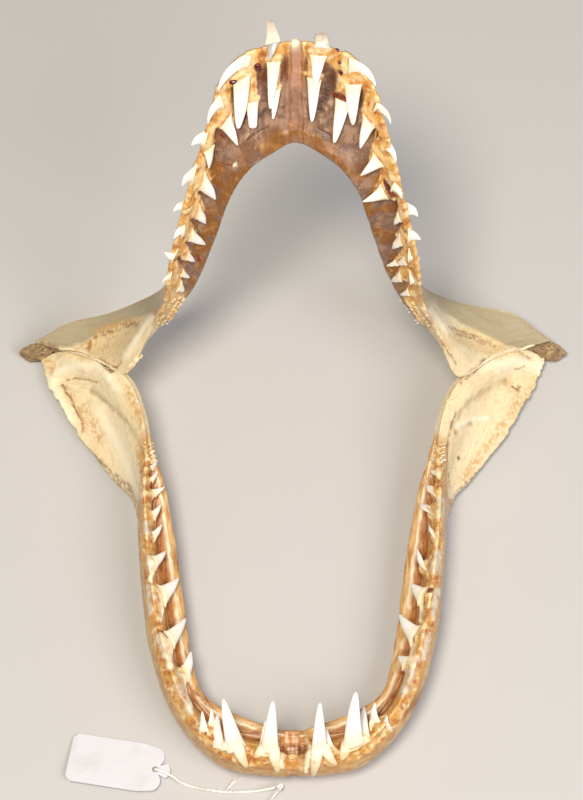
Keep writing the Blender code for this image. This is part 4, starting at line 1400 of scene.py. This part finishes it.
# The forms and marks of the bands: their middle and reach, or where they begin and are whole. These are
# shares of the way across, places on the scale round a band, or strengths of a form or a noise.
UPPER_BAND_PLACES = {
    "knob across": (0.42, 0.17), "knob": (0.02, 0.05), "knob outside": (3.98, 0.06),
    "upper part end": (0.36, 0.5), "gum on the ridges": (0.35, 0.8),
    "amber": (0.88, 0.07), "rim": (1.02, 0.06),
}
LOWER_BAND_PLACES = {
    "hollow": (0.36, 0.12), "hollow left": (-0.1, 0.3), "hollow right": (1.1, 0.7),
    "notch across": (0.5, 0.1), "notch": (3.1, 0.25), "shelf start": (0.5, 0.62), "shelf end": (0.86, 0.94),
    "worn across": (0.5, 0.3), "worn": (0.1, 0.14), "worn outside": (4.0, 0.16),
    "lip end": (0.12, 0.22), "lip outside": (3.45, 3.7), "gaps in the gum": (0.0, 0.3),
    "pale ribs": (-0.2, 0.5), "pocket": (0.4, 0.7), "brown": (1.02, 0.07),
}
BAND_BED_END, BAND_OUTER_START = (0.95, 1.15), (2.6, 3.0)
# Across a band, where its own colours and its own relief take over from those of the halves.
OWN_LOOKS, OWN_RELIEF = ((0.05, 0.27), (0.95, 0.73)), ((0.0, 0.15), (1.0, 0.85))
# The ribs of the shelf: how the noise is stretched, its size and its seed.
RIB_STRETCH, RIB_NOISE = (1.0, 0.2, 0.2), (1.5, 34)
# How far each form of the two bands stands out (minus: sinks in), in millimetres.
UPPER_BAND_DEPTHS = {
    "bed": -0.35, "side ridges": 0.6, "fine ridges": 0.3, "grooves": -0.5, "knob": 1.5, "folds": 0.2,
    "grain": 0.1,
}
LOWER_BAND_DEPTHS = {
    "hollow": -2.6, "notch": -2.0, "worn lip": -2.0, "worn folds": -1.6, "shelf": -0.9, "shelf ribs": 0.35,
    "folds": 0.3, "grain": 0.2,
}


def band_grid(jaw):
    """The band between the halves of a jaw: its points, the share of the way across, place round it."""
    left, right = halves[jaw + "_left"]["final"][0], halves[jaw + "_right"]["final"][0]
    across = np.linspace(-BAND_OVERLAP, 1 + BAND_OVERLAP, BAND_STEPS)
    grid = left + (right - left) * across[:, None, None]
    if jaw == "upper":
        arch = np.sin(math.pi * np.clip(across, 0, 1))[:, None]
        grid[..., 1] += ARCH_RISE * arch * peak(halves["upper_left"]["round"][:1], *ARCH_PLACE)
    round_ = np.repeat(halves[jaw + "_left"]["round"][:1], BAND_STEPS, axis=0)
    return grid, np.repeat(across[:, None], grid.shape[1], axis=1), round_


def upper_band(across, round_, strayed, on_the_bed, noises):
    """The forms and marks of the ridged band: ridges run along it, and its front end is a pale knob."""
    grain, folds, lumps = noises
    at = UPPER_BAND_PLACES
    ridges = {
        name: sum(height * peak(strayed, middle, reach) for middle, reach, height in places)
        for name, places in UPPER_RIDGES.items()
    }
    shapes = {name: on_the_bed * ridge for name, ridge in ridges.items()}
    knob = peak(across, *at["knob across"]) * (peak(round_, *at["knob"]) + peak(round_, *at["knob outside"]))
    shapes |= {"bed": on_the_bed, "knob": knob, "folds": folds, "grain": grain}
    upper_part = 1 - ramp(round_ + 0.08 * lumps, *at["upper part end"])
    gum = on_the_bed * ramp(ridges["side ridges"], *at["gum on the ridges"]) * upper_part
    return sum(UPPER_BAND_DEPTHS[shape] * values for shape, values in shapes.items()), {
        "gum": gum, "membrane": on_the_bed * (1 - gum),
        "band": on_the_bed * (1 - gum) * (0.35 + 0.65 * upper_part),
        # the pale knob, and painted shade in the grooves
        "pale": np.minimum(knob * 1.2, 1), "crease": shapes["grooves"] * 0.6,
        "amber": peak(round_ + 0.05 * folds, *at["amber"]), "rim": peak(round_, *at["rim"]),
    }


def lower_band(grid, across, round_, strayed, on_the_bed, noises):
    """The forms and marks of the chin: a rough hollow, a ribbed shelf under it and a worn, notched lip."""
    grain, folds, lumps = noises
    at = LOWER_BAND_PLACES
    hollow = peak(round_ + 0.05 * lumps, *at["hollow"])
    hollow *= ramp(strayed, *at["hollow left"]) * ramp(strayed, *at["hollow right"])
    notch = peak(across, *at["notch across"]) * peak(round_, *at["notch"])
    shelf = on_the_bed * ramp(round_ + 0.05 * folds, *at["shelf start"])
    shelf *= 1 - ramp(round_, *at["shelf end"])
    ribs = roughness(grid * RIB_STRETCH, *RIB_NOISE)
    worn = peak(strayed, *at["worn across"]) * (peak(round_, *at["worn"]) + peak(round_, *at["worn outside"]))
    lip = 1 - ramp(round_ + 0.04 * folds, *at["lip end"])
    lip = np.maximum(lip, ramp(round_, *at["lip outside"]))
    shapes = {
        "hollow": hollow, "notch": notch, "worn lip": worn, "worn folds": worn * folds,
        "shelf": shelf * np.sin(math.pi * np.clip(across, 0, 1)), "shelf ribs": shelf * ribs,
        "folds": folds, "grain": grain * on_the_bed,
    }
    return sum(LOWER_BAND_DEPTHS[shape] * values for shape, values in shapes.items()), {
        "gum": 0.6 * lip * (1 - 0.7 * ramp(folds, *at["gaps in the gum"])), "band": on_the_bed * (1 - lip),
        "pale": 0.6 * np.maximum(shelf, hollow) * ramp(ribs, *at["pale ribs"]),
        # painted shade in the hollow of the chin, over its own brown
        "pocket": ramp(hollow + 0.3 * grain, *at["pocket"]), "rim": shelf,
        # painted shade in the notch of the chin
        "brown": peak(round_ + 0.04 * folds, *at["brown"]), "crease": 0.5 * notch,
    }


for jaw, tissue in (("upper", upper_tissue), ("lower", lower_tissue)):
    grid, across, round_ = band_grid(jaw)
    noises = [roughness(grid, size, seed) for size, seed in BAND_NOISES]
    _, folds, lumps = noises
    on_the_bed = 1 - ramp(round_, *BAND_BED_END)
    strayed = 0.5 + (across - 0.5) * (1 - 0.2 * np.clip(round_, 0, 1)) + 0.07 * lumps + 0.04 * folds
    if jaw == "upper":
        relief, marks = upper_band(across, round_, strayed, on_the_bed, noises)
    else:
        relief, marks = lower_band(grid, across, round_, strayed, on_the_bed, noises)
    marks["outer"] = ramp(round_, *BAND_OUTER_START)
    own = ramp(across + 0.08 * folds, *OWN_LOOKS[0]) * ramp(across + 0.08 * folds, *OWN_LOOKS[1])
    left_marks, right_marks = halves[jaw + "_left"]["marks"], halves[jaw + "_right"]["marks"]
    for mark, left in left_marks.items():
        beside = left[:1] + (right_marks[mark][:1] - left[:1]) * np.clip(across, 0, 1)
        marks[mark] = beside * (1 - own) + marks.get(mark, 0.0) * own
    own *= ramp(across, *OWN_RELIEF[0]) * ramp(across, *OWN_RELIEF[1])
    band = wrapped(
        f"{jaw}_symphysis", grid + outward(grid) * (relief * own)[..., None], tissue, GAPE_TO_WORLD, marks,
        np.stack([grid[..., 0], grid[..., 1]], axis=-1),
    )
    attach(band, "root")
    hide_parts(f"symphysis_{jaw}")

# -------------------------------------------------------------------------------- joint knobs
# The ends of the upper jaw, over the joints. The skin left on them has dried dark and wrinkled.

KNOB_STATIONS = (
    ((105.8, 22.2, -29.2), (105.3, 22.8, -33.2), (119.8, 26.7, -37.2), 1.0, 3.0, 0.2),
    ((111.5, 20.9, -33), (110.5, 20.9, -40), (127, 22, -40), 2.5, 5.0, 0),
    ((113.5, 18, -37), (113.5, 18, -41), (122.5, 17.5, -42), 1.5, 2.5, 0),
)
KNOB_RINGS = 60
# In millimetres: how far the skin has shrunk, then how high its wrinkles, its pits and its folds are.
KNOB_SHRINK, KNOB_WRINKLES, KNOB_PITS, KNOB_FOLDS = 0.35, 0.55, 0.35, 0.5
# How far down in the wrinkles the painted shade of the creases begins and is whole.
KNOB_CREASES = (0.1, 0.5)

# Skin dried on the bone: dull, brown and patchy, with pale flakes, dark wrinkles and painted shade in the
# sunk ones.
knob_skin = layered_material(
    "wrinkled dry skin", "#957a52",
    {"patches": (4.0, 4.0, 4.0), "wrinkles": (2.5, 0.8, 0.8), "flakes": (0.6, 0.6, 0.6)},
    (
        ("#bb9d6c", 0.9, None, ("patches", 0.46, 0.62)),
        ("#6b5440", 0.8, None, ("wrinkles", 0.52, 0.68)),
        ("#dcc9a4", 0.5, None, ("flakes", 0.58, 0.72)),
        # painted shade in the sunk wrinkles
        ("#6e563f", 0.6, "crease", None),
    ),
    bumps=(("wrinkles",), 0.5, 0.7), values={"Roughness": 0.6},
)

for side, word in ((-1, "left"), (1, "right")):
    form = bar_form(KNOB_STATIONS, side, KNOB_RINGS)
    points = form["points"]
    wrinkles, pits = roughness(points, 2.4, 41 + side), roughness(points, 1.1, 43)
    folds = roughness(points, 3.6, 44)
    relief = KNOB_WRINKLES * wrinkles + KNOB_PITS * pits - KNOB_FOLDS * np.abs(folds) - KNOB_SHRINK
    knob = wrapped(
        f"joint_skin_{word}", points + form["normals"] * relief[..., None], knob_skin, GAPE_TO_WORLD,
        {"crease": ramp(-wrinkles, *KNOB_CREASES)},
    )
    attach(knob, "root")
    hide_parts(f"joint_knob_{word}")

# ------------------------------------------------------------------------------------ teeth
# Enamel crowns with smooth cutting edges: flat on the outer face and rounded on the inner one.
# The front ones are long and slim, those behind them short and broad with wide shoulders.

CROWN_ROWS, CROWN_SIDES = 20, 16
CROWN_SINK = 0.5
SHOULDER_REACH = 0.14
# For each kind of row: how far the shoulders flare, how thick the crown is, how far it bows outward.
CROWN_KINDS = {
    "upper_outer": (0.5, 0.42, 0.17),
    "upper_broken": (0.3, 0.6, 0.0),
    "upper_inner": (0.45, 0.4, 0.0),
    "upper_last": (0.2, 0.8, 0.0),
    "lower_front": (0.5, 0.5, 0.0),
    "lower_inner": (0.45, 0.4, 0.0),
    "lower_last": (0.2, 0.8, 0.0),
}
# A long crown keeps its breadth for longer than a short one: length over half the breadth of the
# foot, and the power with which it narrows.
CROWN_SLIMNESS = ((2.2, 4.5), (0.78, 0.55))
SHOULDER_SHARES = 1.0, 0.3
BROKEN_SLIMNESS, BLUNT_ROUNDING = 1.5, 20
# A crown's section: how sharp its cutting edges are and how flat its outer face is, how quickly its
# thickness goes, how far it bulges inward, and the share of its length over which it levels out.
EDGE_POWER, FLATNESS, THICKNESS_POWER, BULGE, LEVELLING = 1.4, 0.5, 0.7, 0.06, 0.5
# The middle of the mouth: the upper outer crowns bow away from it.
MOUTH_MIDDLE = (0, 60, 0)
LOBE_LIFTS, LOBE_TAPER, LOBE_ROUNDNESS, LOBE_FLATNESS = (0.9, 0.1), (1.15, 0.5), 0.5, 0.55
SURFACE_POINTS, SURFACE_SIDES = 11, 12
SPINDLE_ENDS = 0.06, 0.94
# The lobes of the roots that show under the lower front teeth, as seen: a route, and half its breadth.
ROOT_LOBES = {
    "lower_left": (
        (((267, 742), (262, 751), (254, 757)), 6.0), (((271, 741), (275, 757), (278, 772)), 7.0),
        (((232, 740), (226, 746), (216, 748)), 6.0), (((234, 738), (240, 753), (247, 767)), 7.0),
        (((203, 725), (202, 729), (200, 734)), 3.0), (((211, 723), (215, 727), (218, 731)), 3.0),
    ),
    "lower_right": (
        (((318, 742), (316, 759), (313, 776)), 7.0), (((322, 741), (328, 754), (336, 765)), 6.0),
        (((352, 736), (346, 749), (341, 760)), 6.5), (((356, 735), (363, 739), (370, 741)), 6.0),
        (((374, 719), (372, 725), (371, 731)), 3.0), (((386, 724), (389, 728), (392, 732)), 3.0),
    ),
}


def crown_grid(tooth, flare, thick, bow):
    """The points of one crown, row by row from its foot to its point."""
    foot, point, half = (np.array(tooth[part]) for part in ("foot", "point", "half"))
    breadth, length = np.linalg.norm(half), np.linalg.norm(point - foot)
    axis = (point - foot) / length
    facing = np.array(tooth["normal"])
    facing = unit(facing - axis * (facing @ axis))
    level = unit(half - axis * (half @ axis)) * breadth
    whole = 1 - tooth["blunt"]
    slim = BROKEN_SLIMNESS if tooth["blunt"] else np.interp(length / breadth, *CROWN_SLIMNESS)
    flare *= np.interp(length / breadth, CROWN_SLIMNESS[0], SHOULDER_SHARES)
    outwards = foot * (1, 1, 0) - MOUTH_MIDDLE
    outwards = unit(outwards - axis * (outwards @ axis)) * bow * length
    turn = np.linspace(0, math.tau, CROWN_SIDES, endpoint=False)
    lens = np.sign(np.sin(turn)) * np.abs(np.sin(turn)) ** EDGE_POWER
    lens = np.where(lens > 0, lens, lens * FLATNESS)
    rows = []
    for share in np.linspace(0, 1, CROWN_ROWS):
        narrowing = (1 - share) ** slim * (1 + flare * math.exp(-share / SHOULDER_REACH)) / (1 + flare)
        blunt = tooth["blunt"] * math.sqrt(1 - share**BLUNT_ROUNDING)
        across = half + (level - half) * min(1.0, share / LEVELLING)
        spread = breadth * thick * (blunt + whole * (1 - share) ** THICKNESS_POWER)
        middle = foot - axis * CROWN_SINK + axis * (length + CROWN_SINK) * share
        middle = middle + facing * BULGE * length * math.sin(math.pi * share)
        middle = middle + outwards * 4 * share * (1 - share)
        ring = np.outer(np.cos(turn) * (blunt + whole * narrowing), across) + np.outer(lens * spread, facing)
        rows.append(middle + ring)
    return np.array(rows)


def over_surface(form, seen_route, lifts, count=SURFACE_POINTS):
    """Places along a route as seen, this far over the surface of a half at its start and its end."""
    places = []
    for seen, lift in zip(smooth_route(seen_route, count), np.linspace(*lifts, count)):
        place, normal = on_bed(form, seen)
        places.append(place + normal * lift)
    return np.array(places)


def half_breadth(form, seen, pixels):
    """This many pixels at a place on a half, in millimetres."""
    return pixels * (CAMERA.z - on_bed(form, seen)[0].z) / FOCAL_PIXELS


def spindle(count, blunt):
    """Half breadths along something that swells from one end to the other and narrows again."""
    return np.sin(math.pi * np.linspace(*SPINDLE_ENDS, count)) ** blunt


def enamel_material(name, crown, foot, stain, foot_end=0.42, dullness=0.2):
    """Enamel: glossy, another colour up to foot_end of its length, with faint lines down the crown."""
    coats = (
        (foot, 1.0, None, ("up", foot_end, 0.04)),
        (stain, 0.5, None, ("stain", 0.52, 0.7)),
        (stain, 0.3, None, ("lines", 0.55, 0.75)),
    )
    return layered_material(
        name, crown, {"stain": (2.4, 2.4, 2.4), "lines": (0.35, 3.0, 3.0)}, coats,
        bumps=(("lines",), 0.05, 0.3),
        values={
            "Roughness": dullness, "IOR": 1.62, "Subsurface Weight": 0.1,
            "Subsurface Radius": (0.001, 0.0008, 0.0006),
        },
    )


enamel = enamel_material("enamel", "#f8f4ea", "#f4e6c8", "#e6dbc4")
broken_enamel = enamel_material("worn broken enamel", "#cdbda6", "#fdf3e0", "#a8957c", 0.95)
old_enamel = enamel_material("old grey enamel", "#c6c2ba", "#b0aaa0", "#9a958c")
root_tissue = enamel_material("dry root", "#f0d6a2", "#fbf3e0", "#d9a862", 1.0, 0.5)
small_enamel = enamel_material("yellowed enamel", "#f3e8cc", "#e6cf9e", "#d0b078")
ENAMELS = {"upper_broken": broken_enamel, "upper_last": small_enamel, "lower_last": small_enamel}

for row, teeth in tooth_rows.items():
    kind = "_".join(row.split("_")[:2])
    grids = [crown_grid(tooth, *CROWN_KINDS[kind]) for tooth in teeth]
    joined(row, grids, ENAMELS.get(kind, enamel), GAPE_TO_WORLD)

for name, rows in OLD_CROWNS.items():
    grids = [crown_grid(tooth_place(halves[name], row, True), *CROWN_KINDS["upper_inner"]) for row in rows]
    joined(f"old_crown_{name}", grids, old_enamel, GAPE_TO_WORLD)

for name, lobes in ROOT_LOBES.items():
    form = halves[name]
    grids = []
    for route, breadth in lobes:
        widths = half_breadth(form, route[1], breadth) * spindle(SURFACE_POINTS, LOBE_ROUNDNESS)
        widths *= np.linspace(*LOBE_TAPER, SURFACE_POINTS)
        grids.append(strand(over_surface(form, route, LOBE_LIFTS), widths, LOBE_FLATNESS, SURFACE_SIDES))
    joined(f"tooth_roots_{name}", grids, root_tissue, GAPE_TO_WORLD)

# -------------------------------------------------------------------------- shreds and hairs
# What the knife left: shreds of ligament at the corners of the mouth and along the seam between the
# wings, and short fibres on the lower edge.

# Shreds as seen: a route, half the breadth at its root in pixels, and the lift off the surface in mm.
LIGAMENTS = {
    "upper_left": (
        (((129, 369), (133, 364), (137, 358), (141, 354)), 3.0, 0.6),
        (((127, 372), (131, 367), (134, 362)), 2.2, 1.0),
        (((58, 349), (70, 349), (82, 351), (94, 357)), 1.4, 0.2),
        (((92, 356), (104, 364), (114, 371), (124, 373)), 1.4, 0.2),
    ),
    "upper_right": (
        (((538, 358), (526, 352), (512, 350), (500, 353)), 1.4, 0.2),
        (((500, 353), (490, 358), (478, 368), (468, 379)), 1.4, 0.2),
    ),
    "lower_right": ((((447, 402), (451, 398), (455, 396)), 1.4, 0.5),),
}
# Beads and drops of dried blood, in the same way.
BLOOD_DROPS = {
    "upper_left": (
        (((257, 63), (257, 66.5), (257, 70)), 3.6, 0.6), (((229, 82.5), (233, 82), (237, 81)), 2.6, 0.1),
    ),
    "upper_right": (
        (((340, 60), (340, 62), (341, 64)), 1.9, 0.1), (((341, 70), (341, 72), (342, 75)), 2.2, 0.1),
        (((336, 46), (338, 47), (340, 48)), 2.2, 0.2), (((386, 181), (389, 187), (391, 192)), 2.4, 0.1),
    ),
}
SHRED_POINTS, SHRED_ROUNDS, SHRED_ROUNDNESS, SHRED_FLATNESS = 24, 6, 0.45, 0.22
SHRED_LUMPS, SHRED_LUMP_SIZE = 0.35, 2.0
DROP_ROUNDNESS, DROP_FLATNESS = 0.5, 0.7
# Short fibres: their number on a half and their form, where on it they grow, and how they lie.
HAIRS, HAIR_RADIUS, HAIR_POINTS, HAIR_SIDES, HAIR_TAPER = 60, 0.09, 6, 4, 0.4
HAIR_STATIONS, HAIR_ROUND, HAIR_STRAY = (1.0, 5.5), 2.9, 4
HAIR_TURN, HAIR_BEND, HAIR_LENGTHS, HAIR_ROOT = 0.8, 0.5, (0.8, 2.6), -0.1
HAIR_FACING = (0.2, 0.3, 0.9)

# Dried ligament: cream and waxy with brownish threads along it.
ligament = layered_material(
    "dried ligament", "#f8e7bf", {"patches": (5.0, 5.0, 5.0), "threads": (3.0, 0.5, 0.5)},
    (("#dfbb80", 0.8, None, ("patches", 0.45, 0.65)), ("#b98650", 0.45, None, ("threads", 0.52, 0.7))),
    bumps=(("threads",), 0.25, 0.6), values={"Roughness": 0.45},
)

for name, shreds in LIGAMENTS.items():
    form = halves[name]
    grids = []
    for route, breadth, lift in shreds:
        line = over_surface(form, route, (lift, lift), SHRED_POINTS)
        for _ in range(SHRED_ROUNDS):
            line[1:-1] = (line[:-2] + 2 * line[1:-1] + line[2:]) / 4
        widths = half_breadth(form, route[0], breadth) * spindle(SHRED_POINTS, SHRED_ROUNDNESS)
        widths = widths * (1 + SHRED_LUMPS * roughness(line, SHRED_LUMP_SIZE, 51))
        grids.append(strand(line, widths, SHRED_FLATNESS, SURFACE_SIDES))
    joined(f"ligaments_{name}", grids, ligament, GAPE_TO_WORLD)

# Dried blood: dark red-brown beads and flat drops, still glossy.
blood, _, blood_shader = new_material("dried blood")
blood_shader.inputs["Base Color"].default_value = linear("#5c1408")
blood_shader.inputs["Roughness"].default_value = 0.12
blood_shader.inputs["Coat Weight"].default_value = 0.6

for name, drops in BLOOD_DROPS.items():
    form = halves[name]
    grids = []
    for route, breadth, lift in drops:
        widths = half_breadth(form, route[1], breadth) * spindle(SURFACE_POINTS, DROP_ROUNDNESS)
        grids.append(strand(over_surface(form, route, (lift, lift)), widths, DROP_FLATNESS, SURFACE_SIDES))
    joined(f"blood_{name}", grids, blood, GAPE_TO_WORLD)


def random_move(most):
    """A random move of up to this much along each axis."""
    return np.array([random.uniform(-most, most) for _ in range(3)])


for name in ("lower_left", "lower_right"):
    form = halves[name]
    column = np.argmin(np.abs(form["round"][0] - HAIR_ROUND))
    grids = []
    for _ in range(HAIRS):
        ring = np.argmin(np.abs(form["station"][:, 0] - random.uniform(*HAIR_STATIONS)))
        root = form["final"][ring, column + random.randrange(-HAIR_STRAY, HAIR_STRAY + 1)]
        outwards = form["normals"][ring, column] + random_move(HAIR_TURN)
        bend = random_move(HAIR_BEND)
        share = np.linspace(HAIR_ROOT, 1, HAIR_POINTS)[:, None]
        line = root + random.uniform(*HAIR_LENGTHS) * (unit(outwards) * share + bend * share**2)
        widths = HAIR_RADIUS * np.linspace(1, HAIR_TAPER, HAIR_POINTS)
        grids.append(strand(line, widths, sides=HAIR_SIDES, facing=HAIR_FACING))
    joined(f"fibres_{name}", grids, ligament, GAPE_TO_WORLD)
